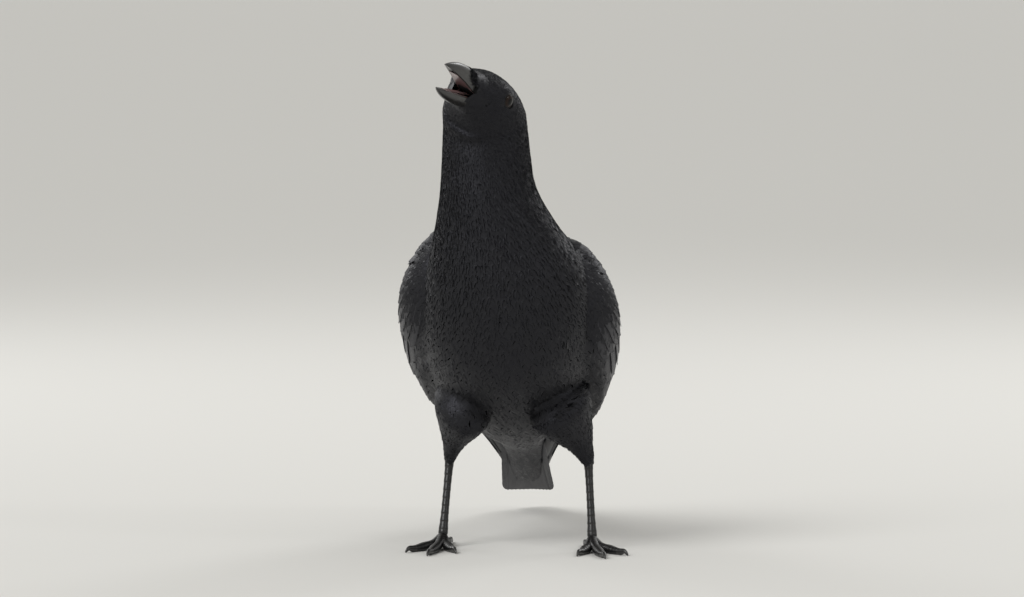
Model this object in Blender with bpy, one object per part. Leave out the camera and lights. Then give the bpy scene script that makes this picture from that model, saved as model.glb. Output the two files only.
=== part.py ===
"""A standing crow, life size, as a still museum model on its own two feet.

The bird looks along -Y and its left is +X. Every size below is in millimetres, in the bird's own
directions: forward, left and up, counted from the floor between its feet. The solids are the bird's
outer form, out to the tips of its feathers.
"""

import math

import bmesh
import bpy
import numpy as np
from mathutils import Matrix, Vector

MM = 0.001
GAP = 0.35

# The body is one smooth form, drawn through these rings from the tail to the neck.
# name, forward, height, pitch in degrees, half width, depth above, depth below, share of the head's turn,
# flatness of the back, where 1 is an ellipse and less is squarer
BODY = (
    ("undertail", -150, 60, 28, 13.5, 6.5, 6.5, 0.0, 1.0),
    ("vent", -108, 80, 33, 25.0, 28.0, 22.0, 0.0, 0.9),
    ("rump", -72, 99, 37, 41.0, 43.0, 36.0, 0.0, 0.75),
    ("flank", -36, 120, 40, 54.0, 50.0, 48.0, 0.0, 0.65),
    ("belly", -2, 144, 40, 60.0, 50.0, 54.0, 0.0, 0.6),
    ("breast", 25, 168, 42, 61.0, 50.0, 56.0, 0.0, 0.6),
    ("crop", 41, 190, 50, 58.0, 48.0, 51.0, 0.0, 0.7),
    ("neck_base", 50, 211, 62, 52.0, 41.0, 43.0, 0.05, 0.9),
    ("neck_low", 54, 234, 73, 42.5, 35.0, 37.0, 0.15, 1.0),
    ("neck_mid", 56, 259, 79, 34.0, 31.0, 33.0, 0.35, 1.0),
    ("neck_high", 57, 283, 79, 31.5, 28.5, 30.0, 0.6, 1.0),
    ("nape", 60, 305, 62, 30.5, 27.0, 28.5, 0.85, 1.0),
)
# The head's rings, in its own directions, counted from the corner of the mouth.
# name, forward, height, pitch, half width, depth above, depth below
HEAD = (
    ("occiput", -30.0, 3.0, 28, 29.5, 25.5, 29.5),
    ("ear", -20.0, 5.5, 12, 27.5, 22.0, 25.2),
    ("eye", -9.5, 6.5, 4, 24.0, 18.6, 21.8),
    ("lores", -0.5, 5.5, 0, 18.0, 15.4, 18.5),
    ("forehead", 8.0, 4.0, 0, 12.3, 11.8, 16.0),
    ("bill_base", 14.0, 3.0, 0, 9.6, 9.6, 14.6),
)
MOUTH_CORNER = (92.0, 325.0)
NECK_AXIS = 57.0
HEAD_YAW, HEAD_PITCH, HEAD_ROLL = -15.0, 27.0, 24.0
NECK_LEAN, LEAN_FROM, LEAN_TO = -13.0, 190.0, 275.0
# Where the smooth form is parted, counted in rings from the tail.
NECK_CUT, HEAD_CUT = 7.0, 11.0
RING_POINTS = 24

UPPER_BILL_LENGTH, UPPER_BILL_DEPTH, UPPER_BILL_HALF_WIDTH = 56.0, 13.2, 8.8
LOWER_BILL_LENGTH, LOWER_BILL_DEPTH, LOWER_BILL_HALF_WIDTH = 52.0, 8.6, 8.2
BILL_HOOK = 2.2
BILL_OPEN = 19.0
TONGUE_LENGTH, TONGUE_HALF_WIDTH, TONGUE_THICKNESS = 34.0, 2.6, 1.6
EYE_RADIUS = 6.5
EYE_PLACE = (-10.0, 18.6, 10.5)

# The folded wing is a curved sheet between two edges, from the bend of the wing to its tip.
WING_LOWER_EDGE = (
    (56, 44, 188), (32, 58, 150), (-14, 60, 113), (-70, 50, 86), (-128, 31, 66), (-174, 20, 46), (-214, 14, 29),
)
WING_UPPER_EDGE = (
    (42, 38, 224), (10, 44, 220), (-38, 31, 187), (-84, 18, 150), (-130, 10, 112), (-172, 7, 75), (-208, 6, 42),
)
WING_BULGE = (8.0, 24.0, 27.0, 20.0, 11.0, 6.0, 2.5)
WING_ROUNDNESS, WING_LIFT = 0.62, 4.5
WING_ROOT_THICKNESS, WING_TIP_THICKNESS = 18.0, 3.0
COVERT_STEP, PRIMARY_STEP = 1.5, 2.4
WING_COLUMNS, SCALLOPS, SCALLOP = 13, 6, 0.014

TAIL_BASE, TAIL_BASE_HEIGHT = -92.0, 94.0
TAIL_LENGTH, TAIL_SLOPE = 174.0, 28.4
TAIL_BASE_HALF_WIDTH, TAIL_END_HALF_WIDTH = 13.0, 19.5
TAIL_THICKNESS, TAIL_ARCH, TAIL_ROUNDING = 4.4, 5.5, 14.0
TAIL_COLUMNS, TAIL_TIPS, TAIL_SCALLOP = 13, 6, 3.0

# Each leg: where its foot stands, forward and left, and the foot's turn outwards in degrees.
LEGS = {"right": (2.0, -48.0, 8.0), "left": (12.0, 59.0, 13.0)}
HIP = (20.0, 28.0, 118.0)
ANKLE_BACK, ANKLE_IN, ANKLE_HEIGHT = 22.0, 4.0, 62.0
THIGH_TOP_RADIUS, THIGH_FOOT_RADIUS, THIGH_WIDTH = 31.0, 5.6, 0.74
THIGH_TAPER, THIGH_CAP, THIGH_CAP_END = 1.25, 0.3, 0.36
TARSUS_RADIUS, ANKLE_RADIUS = 2.7, 4.0
FOOT_HEIGHT = 4.2
SOLE_CUT = 1.1
# Each toe: its direction from straight ahead in degrees, outwards, its length, and its claw's length.
TOES = {"hind": (180.0, 21.0, 15.0), "inner": (-27.0, 27.0, 11.5), "middle": (0.0, 40.0, 12.5), "outer": (29.0, 30.0, 11.0)}
TOE_RADIUS, TOE_TIP_RADIUS = 3.9, 2.9
CLAW_CURVE = 62.0
TOE_RINGS, CLAW_RINGS = 7, 6

FEATHER_BLACK = (0.012, 0.012, 0.014, 1.0)
HORN_BLACK = (0.010, 0.010, 0.011, 1.0)
LEG_BLACK = (0.016, 0.015, 0.015, 1.0)
MOUTH_GREY = (0.090, 0.060, 0.062, 1.0)
EYE_BROWN = (0.013, 0.008, 0.006, 1.0)


def place(point):
    """A point given forward, left and up in millimetres, in Blender's axes and metres."""
    forward, left, height = point
    return Vector((left, -forward, height)) * MM


def spline(table, t):
    """The smooth curve through a table's rows, read at t, where whole numbers are the rows."""
    rows = np.asarray(table, float)
    last = len(rows) - 1
    i = int(min(max(math.floor(t), 0), last - 1))
    x = t - i
    before, start, end, after = rows[max(i - 1, 0)], rows[i], rows[i + 1], rows[min(i + 2, last)]
    slope_in = (end - before) / (2 if i > 0 else 1)
    slope_out = (after - start) / (2 if i + 1 < last else 1)
    return (
        start * (2 * x**3 - 3 * x**2 + 1)
        + slope_in * (x**3 - 2 * x**2 + x)
        + end * (3 * x**2 - 2 * x**3)
        + slope_out * (x**3 - x**2)
    )


def ease(x):
    x = min(max(x, 0.0), 1.0)
    return x * x * (3 - 2 * x)


def turned(yaw, pitch, roll):
    """A turn in forward, left and up: yaw to the left, pitch up, and roll of the crown to the left."""
    return np.array(
        Matrix.Rotation(math.radians(yaw), 3, "Z")
        @ Matrix.Rotation(math.radians(-pitch), 3, "Y")
        @ Matrix.Rotation(math.radians(-roll), 3, "X")
    )


def head_frame():
    """The head's turn, and the place of its mouth corner after the neck has leaned and turned."""
    swing = turned(HEAD_YAW, 0, 0) @ np.array((MOUTH_CORNER[0] - NECK_AXIS, 0.0, 0.0))
    corner = np.array((NECK_AXIS, NECK_LEAN, MOUTH_CORNER[1])) + swing
    return turned(HEAD_YAW, HEAD_PITCH, HEAD_ROLL), corner


def in_head(point):
    """A point given in the head's own directions, in the bird's."""
    frame, corner = head_frame()
    return corner + frame @ np.array(point, float)


def body_rings():
    """Every ring as one row: centre, left and up axes, half width, depths above and below, flatness."""
    rows = []
    for _, forward, height, pitch, half_width, above, below, share, flatness in BODY:
        lean = NECK_LEAN * ease((height - LEAN_FROM) / (LEAN_TO - LEAN_FROM))
        swing = turned(HEAD_YAW * share, 0, 0) @ np.array((forward - NECK_AXIS, 0.0, 0.0))
        centre = np.array((NECK_AXIS, lean, height)) + (swing if share else (forward - NECK_AXIS, 0.0, 0.0))
        frame = turned(HEAD_YAW * share, pitch, HEAD_ROLL * share)
        rows.append((*centre, *frame[:, 1], *frame[:, 2], half_width, above, below, flatness))
    frame, corner = head_frame()
    for _, forward, height, pitch, half_width, above, below in HEAD:
        own = frame @ turned(0, pitch, 0)
        centre = corner + frame @ np.array((forward, 0.0, height))
        rows.append((*centre, *own[:, 1], *own[:, 2], half_width, above, below, 1.0))
    return rows


def body_ring(rows, t, grow=0.0):
    """The closed ring of points of the smooth form at t, pushed out by grow."""
    row = spline(rows, t)
    centre, left, up = row[0:3], row[3:6], row[6:9]
    left = left / np.linalg.norm(left)
    up = up - left * (up @ left)
    up = up / np.linalg.norm(up)
    half_width, above, below = row[9:12] + grow
    points = []
    for k in range(RING_POINTS):
        angle = 2 * math.pi * k / RING_POINTS
        rise, side = math.sin(angle), math.cos(angle)
        if rise > 0:
            rise, side = rise ** row[12], math.copysign(abs(side) ** row[12], side)
        points.append(centre + left * half_width * side + up * rise * (above if rise > 0 else below))
    return points


def material(name, colour, roughness, coat=0.0):
    made = bpy.data.materials.get(name) or bpy.data.materials.new(name)
    made.use_nodes = True
    shader = made.node_tree.nodes["Principled BSDF"]
    shader.inputs["Base Color"].default_value = colour
    shader.inputs["Roughness"].default_value = roughness
    shader.inputs["Metallic"].default_value = 0.0
    shader.inputs["Coat Weight"].default_value = coat
    return made


def finishes():
    return {
        "feather": material("feather_black", FEATHER_BLACK, 0.45),
        "horn": material("bill_and_claw_horn", HORN_BLACK, 0.28, 0.2),
        "leg": material("leg_scutes", LEG_BLACK, 0.45),
        "mouth": material("mouth_lining", MOUTH_GREY, 0.4),
        "eye": material("eye_brown", EYE_BROWN, 0.05, 1.0),
    }


def new_object(name, shape, finish):
    """A named object from a finished bmesh, with outward faces and rounded shading."""
    bmesh.ops.recalc_face_normals(shape, faces=shape.faces)
    mesh = bpy.data.meshes.new(name)
    shape.to_mesh(mesh)
    shape.free()
    mesh.shade_smooth()
    mesh.set_sharp_from_angle(angle=math.radians(50))
    made = bpy.data.objects.new(name, mesh)
    made.data.materials.append(finish)
    bpy.context.scene.collection.objects.link(made)
    return made


def loft(name, rings, finish):
    """A closed solid through rings of equal count, with a flat cap at each end."""
    shape = bmesh.new()
    loops = [[shape.verts.new(place(point)) for point in ring] for ring in rings]
    count = len(loops[0])
    for one, two in zip(loops, loops[1:]):
        for k in range(count):
            shape.faces.new((one[k], one[(k + 1) % count], two[(k + 1) % count], two[k]))
    shape.faces.new(loops[0])
    shape.faces.new(loops[-1])
    return new_object(name, shape, finish)


def slab(name, outer, inner, finish):
    """A closed solid between two grids of points of equal size."""
    shape = bmesh.new()
    top = [[shape.verts.new(place(point)) for point in row] for row in outer]
    under = [[shape.verts.new(place(point)) for point in row] for row in inner]
    rows, columns = len(top), len(top[0])
    for i in range(rows - 1):
        for j in range(columns - 1):
            for grid in (top, under):
                shape.faces.new((grid[i][j], grid[i][j + 1], grid[i + 1][j + 1], grid[i + 1][j]))
    edge = [(0, j) for j in range(columns)] + [(i, columns - 1) for i in range(1, rows)]
    edge += [(rows - 1, j) for j in range(columns - 2, -1, -1)] + [(i, 0) for i in range(rows - 2, 0, -1)]
    for (i, j), (m, n) in zip(edge, edge[1:] + edge[:1]):
        shape.faces.new((top[i][j], top[m][n], under[m][n], under[i][j]))
    return new_object(name, shape, finish)


def helper(made):
    """Keeps a cutter or a joined piece out of the model itself."""
    made.hide_render = True
    made.display_type = "WIRE"
    return made


def combine(made, other, operation):
    """Cuts other from made, or joins it to made."""
    modifier = made.modifiers.new(f"{operation.lower()}_{other.name}", "BOOLEAN")
    modifier.operation = operation
    modifier.object = other
    modifier.solver = "EXACT"
    return made


def steps(start, end, count):
    return [start + (end - start) * k / (count - 1) for k in range(count)]


def build_body(rows, skin):
    """Trunk, neck and head, parted by thin flat cuts, and the grown trunk that others are cut by."""
    last = len(rows) - 1
    part = GAP / 24
    trunk = loft("trunk", [body_ring(rows, t) for t in steps(0, NECK_CUT - part, 18)], skin)
    neck = loft("neck", [body_ring(rows, t) for t in steps(NECK_CUT, HEAD_CUT - part, 9)], skin)
    head = loft("head", [body_ring(rows, t) for t in steps(HEAD_CUT, last, 12)], skin)
    grown = [body_ring(rows, t, GAP) for t in steps(0, NECK_CUT + 1.5, 22)]
    return trunk, neck, head, helper(loft("trunk_cutter", grown, skin))


def upper_bill(name, finish, grow=0.0):
    """The upper mandible: a gothic arch that tapers and hooks down to its tip."""
    rings = []
    for x in steps(0.0, 0.985, 12):
        depth = UPPER_BILL_DEPTH * (1 - x**2.6) ** 0.9 + grow
        half_width = UPPER_BILL_HALF_WIDTH * (1 - x) ** 0.62 + grow
        sag = -BILL_HOOK * x**4 - grow
        ring = []
        for k in range(13):
            angle = math.pi * k / 12
            lift = math.sin(angle) ** 0.85 if 0 < k < 12 else 0.0
            ring.append((x * UPPER_BILL_LENGTH, half_width * math.cos(angle), sag + (depth + grow) * lift))
        ring += [(x * UPPER_BILL_LENGTH, -half_width * side, sag + 0.08 * depth) for side in (0.5, -0.5)]
        rings.append([in_head(point) for point in ring])
    return loft(name, rings, finish)


def lower_bill_point(x, side, height):
    """A point of the lower mandible, which is swung down about the corner of the mouth."""
    swing = math.radians(BILL_OPEN)
    height -= 0.6
    return in_head((x * math.cos(swing) + height * math.sin(swing), side, height * math.cos(swing) - x * math.sin(swing)))


def lower_bill(name, finish, grow=0.0):
    """The lower mandible: a round keel that rises from the chin's angle to its tip."""
    rings = []
    for x in steps(0.02, 0.985, 10):
        depth = LOWER_BILL_DEPTH * (1 - x**3) ** 0.8 + grow
        half_width = LOWER_BILL_HALF_WIDTH * (1 - x) ** 0.58 + grow
        ring = []
        for k in range(11):
            angle = math.pi * k / 10
            drop = math.sin(angle) ** 0.8 if 0 < k < 10 else 0.0
            ring.append((x * LOWER_BILL_LENGTH, half_width * math.cos(angle), grow - (depth + grow) * drop))
        rings.append([lower_bill_point(*point) for point in ring])
    return loft(name, rings, finish)


def build_tongue(finish):
    """A flat tongue that lies in the lower mandible."""
    rings = []
    for x in steps(0.0, 1.0, 9):
        half_width = TONGUE_HALF_WIDTH * (1 - 0.75 * x**2)
        thickness = TONGUE_THICKNESS * (1 - 0.5 * x)
        ring = []
        for k in range(8):
            angle = 2 * math.pi * k / 8
            ring.append((5 + x * TONGUE_LENGTH, half_width * math.cos(angle), GAP + thickness * (1 + math.sin(angle)) / 2))
        rings.append([lower_bill_point(*point) for point in ring])
    return loft("tongue", rings, finish)


def mouth_cutter(finish):
    """The wedge of air between the open mandibles, back to near the mouth's corner."""
    start, end, half_width = 4.0, 24.0, 14.0
    rings = []
    for x in (start, end):
        low = lower_bill_point(x, 0.0, 0.0) - in_head((0.0, 0.0, 0.0))
        drop = float(np.linalg.norm(low - (in_head((x, 0.0, 0.0)) - in_head((0.0, 0.0, 0.0)))))
        corners = ((x, half_width, 0.0), (x, half_width, -drop), (x, -half_width, -drop), (x, -half_width, 0.0))
        rings.append([in_head(point) for point in corners])
    return helper(loft("mouth_cutter", rings, finish))


def ball(name, centre, radius, finish):
    shape = bmesh.new()
    bmesh.ops.create_uvsphere(shape, u_segments=14, v_segments=8, radius=radius * MM)
    bmesh.ops.translate(shape, verts=shape.verts, vec=place(centre))
    return new_object(name, shape, finish)


def build_face(head, looks):
    """Bill, tongue and eyes, each set into the head with a thin gap round it."""
    upper_bill("bill_upper", looks["horn"])
    lower_bill("bill_lower", looks["horn"])
    build_tongue(looks["mouth"])
    combine(head, mouth_cutter(looks["mouth"]), "DIFFERENCE")
    combine(head, helper(upper_bill("bill_upper_cutter", looks["horn"], GAP)), "DIFFERENCE")
    combine(head, helper(lower_bill("bill_lower_cutter", looks["horn"], GAP)), "DIFFERENCE")
    for side, sign in (("left", 1), ("right", -1)):
        centre = in_head((EYE_PLACE[0], sign * EYE_PLACE[1], EYE_PLACE[2]))
        ball(f"eye_{side}", centre, EYE_RADIUS, looks["eye"])
        socket = helper(ball(f"socket_{side}", centre, EYE_RADIUS + GAP, looks["eye"]))
        combine(head, socket, "DIFFERENCE")


def wing_point(sign, p, q):
    """The wing's outer sheet: p runs from the bend to the tip, q from the lower edge to the upper.

    The right shoulder stands a little higher than the left."""
    t = p * (len(WING_BULGE) - 1)
    low, high = spline(WING_LOWER_EDGE, t), spline(WING_UPPER_EDGE, t)
    point = low * (1 - q) + high * q
    point[1] += float(spline(WING_BULGE, t)) * math.sin(math.pi * min(max(q, 0.0), 1.0)) ** WING_ROUNDNESS
    point[1] *= sign
    point[2] -= sign * WING_LIFT * (1 - p) ** 0.5
    return point


def wing_normal(sign, p):
    """The outward direction of the wing's chord at p."""
    near = 0.01
    along = wing_point(sign, min(p + near, 1.0), 0.5) - wing_point(sign, max(p - near, 0.0), 0.5)
    across = wing_point(sign, p, 1.0) - wing_point(sign, p, 0.0)
    normal = np.cross(along, across) * sign
    return normal / np.linalg.norm(normal)


def wing_panel(name, sign, start, end, step, rows, finish):
    """One overlapping panel of the wing, from its start line to its end line, sunk by step."""
    outer, inner = [], []
    for i in range(rows):
        top, under = [], []
        for q in steps(0.0, 1.0, WING_COLUMNS):
            p = start(q) + (end(q) - start(q)) * i / (rows - 1)
            thick = WING_TIP_THICKNESS + (WING_ROOT_THICKNESS - WING_TIP_THICKNESS) * (1 - p) ** 1.5
            edge = math.sin(math.pi * (0.06 + 0.88 * q)) ** 0.5
            nose = ease(0.35 + p / 0.08)
            normal = wing_normal(sign, p)
            point = wing_point(sign, p, q)
            top.append(point - normal * (step + (1 - nose) * 5))
            under.append(point - normal * (step + max(thick * edge * nose, 2.2) + (1 - nose) * 5))
        outer.append(top)
        inner.append(under)
    return slab(name, outer, inner, finish)


def secondary_edge(q):
    """The line of the secondaries' rounded tips."""
    return 0.47 + 0.19 * q + SCALLOP * abs(math.sin(math.pi * SCALLOPS * q))


def covert_edge(q):
    """The line where the coverts end on the flight feathers."""
    return 0.30 + 0.06 * q


def build_wings(body_cutter, tail_cutter, looks):
    """Each wing in three overlapping panels, cut to lie on the trunk and over the tail."""
    parting = 0.0016
    for side, sign in (("left", 1), ("right", -1)):
        panels = (
            wing_panel(f"wing_{side}_coverts", sign, lambda q: 0.0, covert_edge, 0.0, 9, looks["feather"]),
            wing_panel(
                f"wing_{side}_secondaries", sign, lambda q: covert_edge(q) + parting, secondary_edge, COVERT_STEP, 7,
                looks["feather"],
            ),
            wing_panel(
                f"wing_{side}_primaries", sign, lambda q: secondary_edge(q) + parting, lambda q: 1.0,
                COVERT_STEP + PRIMARY_STEP, 8, looks["feather"],
            ),
        )
        for panel in panels:
            combine(panel, body_cutter, "DIFFERENCE")
        combine(panels[2], tail_cutter, "DIFFERENCE")


def tail_panel(name, finish, grow=0.0):
    """The closed tail: a slightly arched fan with a rounded, scalloped end."""
    slope = math.radians(TAIL_SLOPE)
    along, up = np.array((-math.cos(slope), 0.0, -math.sin(slope))), np.array((-math.sin(slope), 0.0, math.cos(slope)))
    outer, inner = [], []
    for a in steps(0.0, 1.0, 8):
        top, under = [], []
        for v in steps(-1.0, 1.0, TAIL_COLUMNS):
            notch = TAIL_SCALLOP * (1 - abs(math.sin(math.pi * TAIL_TIPS * (v + 1) / 2)))
            length = TAIL_LENGTH - TAIL_ROUNDING * v * v - notch + grow
            half_width = TAIL_BASE_HALF_WIDTH + (TAIL_END_HALF_WIDTH - TAIL_BASE_HALF_WIDTH) * a**0.8 + grow
            middle = np.array((TAIL_BASE, v * half_width, TAIL_BASE_HEIGHT)) + along * a * length
            middle = middle - up * TAIL_ARCH * v * v * (0.35 + 0.65 * a)
            thick = TAIL_THICKNESS * (1 - 0.3 * a) * (1 - 0.45 * v * v) + 2 * grow
            top.append(middle + up * thick / 2)
            under.append(middle - up * thick / 2)
        outer.append(top)
        inner.append(under)
    return slab(name, outer, inner, finish)


def tube(name, path, radii, finish, wide=1.0, sides=8):
    """A closed tube along a path of points, with a radius at each, scaled sideways by wide."""
    path = [np.array(point, float) for point in path]
    rings = []
    for i, point in enumerate(path):
        way = path[min(i + 1, len(path) - 1)] - path[max(i - 1, 0)]
        way = way / np.linalg.norm(way)
        side = np.cross(way, (0.0, 0.0, 1.0))
        if np.linalg.norm(side) < 0.5:
            side = np.cross(way, (1.0, 0.0, 0.0))
        side = side / np.linalg.norm(side)
        up = np.cross(side, way)
        ring = []
        for k in range(sides):
            angle = 2 * math.pi * (k + 0.5) / sides
            ring.append(point + (side * wide * math.cos(angle) + up * math.sin(angle)) * radii[i])
        rings.append(ring)
    return loft(name, rings, finish)


def build_thigh(side, sign, ankle, body_cutter, finish):
    """The feathered thigh, from inside the belly down to just above the ankle."""
    top = np.array((HIP[0], sign * HIP[1], HIP[2]))
    foot = ankle + np.array((1.5, 0.0, 5.0))
    path = [top + (foot - top) * x for x in steps(0.0, 1.0, 10)]
    radii = []
    for x in steps(0.0, 1.0, 10):
        taper = THIGH_FOOT_RADIUS + (THIGH_TOP_RADIUS - THIGH_FOOT_RADIUS) * math.cos(math.pi * x / 2) ** THIGH_TAPER
        cap = math.sin(math.pi / 2 * min(x / THIGH_CAP_END, 1.0))
        radii.append(taper * (THIGH_CAP + (1 - THIGH_CAP) * cap))
    thigh = tube(f"thigh_{side}", path, radii, finish, wide=THIGH_WIDTH, sides=14)
    return combine(thigh, body_cutter, "DIFFERENCE")


def toe_path(heading, length):
    """A toe's middle line from the foot's centre: out and down to the floor, and along it."""
    points = []
    for x in steps(0.0, 1.0, TOE_RINGS):
        height = FOOT_HEIGHT + 4.0 * (1 - x) ** 3 - 0.9 * (2 * x - x * x)
        points.append((x * length * math.cos(heading), x * length * math.sin(heading), height))
    return points


def claw_points(heading, length, reach):
    """A claw's middle line and radii: an arc that bends down to touch the floor with its tip."""
    curve = math.radians(CLAW_CURVE)
    radius = reach / curve
    drop = radius * (1 - math.cos(curve))
    scale = (FOOT_HEIGHT - 0.9 - 0.45) / drop
    points, radii = [], []
    for x in steps(0.0, 1.0, CLAW_RINGS):
        out = length + 2 * GAP + radius * math.sin(curve * x)
        height = FOOT_HEIGHT - 0.9 + 1.0 * math.sin(math.pi * x) ** 2 - scale * radius * (1 - math.cos(curve * x))
        points.append((out * math.cos(heading), out * math.sin(heading), height))
        radii.append(2.2 * (1 - x) ** 0.8 + 0.42)
    return points, radii


def build_foot(side, sign, centre, turn, looks):
    """The foot: four toes joined at its middle, flat under the pads, with a claw on each."""
    floor_cutter = bmesh.new()
    bmesh.ops.create_cube(floor_cutter, size=400 * MM)
    bmesh.ops.translate(floor_cutter, verts=floor_cutter.verts, vec=Vector((0, 0, -200 * MM)))
    floor_cutter = helper(new_object(f"floor_cutter_{side}", floor_cutter, looks["leg"]))
    joined = None
    for toe, (angle, length, claw) in TOES.items():
        heading = math.radians(sign * (angle + turn))
        shift = np.array((centre[0], centre[1], -SOLE_CUT))
        path = [shift + np.array(point) for point in toe_path(heading, length)]
        radii = []
        for x in steps(0.0, 1.0, TOE_RINGS):
            pad = 0.35 * math.cos(2 * math.pi * 1.5 * x)
            radii.append(TOE_RADIUS + (TOE_TIP_RADIUS - TOE_RADIUS) * x + pad)
        made = tube(f"toe_{toe}_{side}" if joined else f"foot_{side}", path, radii, looks["leg"])
        joined = combine(joined, helper(made), "UNION") if joined else made
        points, claw_radii = claw_points(heading, length, claw)
        base = np.array((centre[0], centre[1], 0.0))
        points = [base + np.array(point) - np.array((0.0, 0.0, SOLE_CUT * (1 - x))) for x, point in zip(steps(0, 1, CLAW_RINGS), points)]
        claw_made = tube(f"claw_{side}_{toe}", points, claw_radii, looks["horn"], wide=0.85, sides=6)
        combine(claw_made, floor_cutter, "DIFFERENCE")
    return combine(joined, floor_cutter, "DIFFERENCE")


def build_leg(side, sign, foot_place, body_cutter, looks):
    """Thigh, bare shank and foot of one leg."""
    forward, left, turn = foot_place
    top_of_foot = FOOT_HEIGHT + 6.0
    foot_centre = np.array((forward, left, 0.0))
    ankle = np.array((forward - ANKLE_BACK, left - sign * ANKLE_IN, ANKLE_HEIGHT))
    thigh = build_thigh(side, sign, ankle, body_cutter, looks["feather"])
    start, end = ankle + np.array((0.5, 0.0, 3.0)), foot_centre + np.array((-2.2, 0.0, top_of_foot))
    path = [start + (end - start) * x for x in steps(0.0, 1.0, 8)]
    radii = [TARSUS_RADIUS + (ANKLE_RADIUS - TARSUS_RADIUS) * abs(2 * x - 1) ** 3 for x in steps(0.0, 1.0, 8)]
    tube(f"tarsus_{side}", path, radii, looks["leg"], sides=10)
    grown = helper(tube(f"tarsus_cutter_{side}", path, [radius + GAP for radius in radii], looks["leg"], sides=10))
    combine(thigh, grown, "DIFFERENCE")
    foot = build_foot(side, sign, foot_centre, turn, looks)
    combine(foot, grown, "DIFFERENCE")


def centre_on_origin():
    """Moves the whole model so that its box stands on the floor with its middle over the origin."""
    bpy.context.view_layer.update()
    graph = bpy.context.evaluated_depsgraph_get()
    corners = []
    for made in bpy.data.objects:
        if not made.hide_render:
            shown = made.evaluated_get(graph)
            corners += [shown.matrix_world @ Vector(corner) for corner in shown.bound_box]
    low = Vector(map(min, zip(*corners)))
    high = Vector(map(max, zip(*corners)))
    shift = Vector((-(low.x + high.x) / 2, -(low.y + high.y) / 2, -low.z))
    for made in bpy.data.objects:
        made.location += shift
    print("shift in mm", [round(value / MM, 2) for value in shift])


def main():
    for old in list(bpy.data.objects):
        bpy.data.objects.remove(old)
    looks = finishes()
    rows = body_rings()
    _, _, head, body_cutter = build_body(rows, looks["feather"])
    build_face(head, looks)
    tail = combine(tail_panel("tail", looks["feather"]), body_cutter, "DIFFERENCE")
    tail_cutter = helper(tail_panel("tail_cutter", looks["feather"], GAP))
    build_wings(body_cutter, tail_cutter, looks)
    for side, sign in (("left", 1), ("right", -1)):
        build_leg(side, sign, LEGS[side], body_cutter, looks)
    centre_on_origin()
    return tail


main()
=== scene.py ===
# A standing carrion crow, life size: skin, feathers, bill, eyes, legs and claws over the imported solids.
# Shapes are worked out in millimetres in the bird's own directions, (forward, left, up) from the floor
# between its feet, and toWorld turns them to metres in the frame.
import math

import bmesh
import bpy
import numpy as np
from mathutils import Matrix, Vector


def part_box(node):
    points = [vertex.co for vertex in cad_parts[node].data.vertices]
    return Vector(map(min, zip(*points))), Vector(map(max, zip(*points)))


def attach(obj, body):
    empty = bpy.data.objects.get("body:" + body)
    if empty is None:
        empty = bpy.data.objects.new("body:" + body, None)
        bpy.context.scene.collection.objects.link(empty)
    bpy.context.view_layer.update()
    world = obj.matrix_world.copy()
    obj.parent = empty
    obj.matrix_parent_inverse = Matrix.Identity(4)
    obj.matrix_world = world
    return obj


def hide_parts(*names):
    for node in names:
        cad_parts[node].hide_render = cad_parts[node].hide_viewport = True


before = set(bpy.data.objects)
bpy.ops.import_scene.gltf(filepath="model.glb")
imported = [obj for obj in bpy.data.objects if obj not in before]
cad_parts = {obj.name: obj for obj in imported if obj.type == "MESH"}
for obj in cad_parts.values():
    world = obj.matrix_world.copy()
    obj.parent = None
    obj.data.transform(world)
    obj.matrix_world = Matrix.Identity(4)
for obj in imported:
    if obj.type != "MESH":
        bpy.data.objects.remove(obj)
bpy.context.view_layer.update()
dice = np.random.default_rng(11)

pose = {
    "headYaw": -15.0, "headPitch": 27.0, "headRoll": 24.0,  # degrees: left, up, crown to the left
    "mouthCorner": (92.0, 325.0), "neckAxis": 57.0,
    "neckLean": -13.0, "leanFrom": 190.0, "leanTo": 275.0,
    "billOpen": 19.0, "billUnder": 0.6,  # the lower half's swing in degrees, and its start under the line
}
sides = {"left": 1, "right": -1}
bodyInside = np.array((-20.0, 0.0, 120.0))  # a place inside the body, which outer sheets face away from
# The feathered body from tail to bill: forward, up, pitch, half width, depth above, depth below,
# share of the head's turn, flatness of the back, depth of the coat, feather length, row spacing.
bodyRings = (
    (-196, 38, 28.4, 12.5, 3.6, 4.4, 0, 1, 2.0, 30, 7.0),
    (-150, 60, 28, 15.5, 7.0, 7.5, 0, 1, 2.5, 30, 6.6),
    (-108, 80, 33, 25, 28, 22, 0, 0.9, 4.0, 28, 6.2),
    (-72, 99, 37, 41, 43, 36, 0, 0.75, 5.0, 26, 6.0),
    (-36, 120, 40, 54, 50, 48, 0, 0.65, 5.0, 25, 5.8),
    (-2, 144, 40, 60, 50, 54, 0, 0.6, 5.0, 24, 5.6),
    (25, 168, 42, 61, 50, 56, 0, 0.6, 5.0, 22, 5.2),
    (41, 190, 50, 58, 48, 51, 0, 0.7, 4.5, 20, 4.8),
    (50, 211, 62, 52, 41, 43, 0.05, 0.9, 4.0, 21, 4.3),
    (54, 234, 73, 42.5, 35, 37, 0.15, 1, 3.6, 20, 3.8),
    (56, 259, 79, 34, 31, 33, 0.35, 1, 3.2, 18, 3.3),
    (57, 283, 79, 31.5, 28.5, 30, 0.6, 1, 3.0, 15, 2.9),
    (60, 305, 62, 30.5, 27, 28.5, 0.85, 1, 2.6, 11, 2.4),
)
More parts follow.
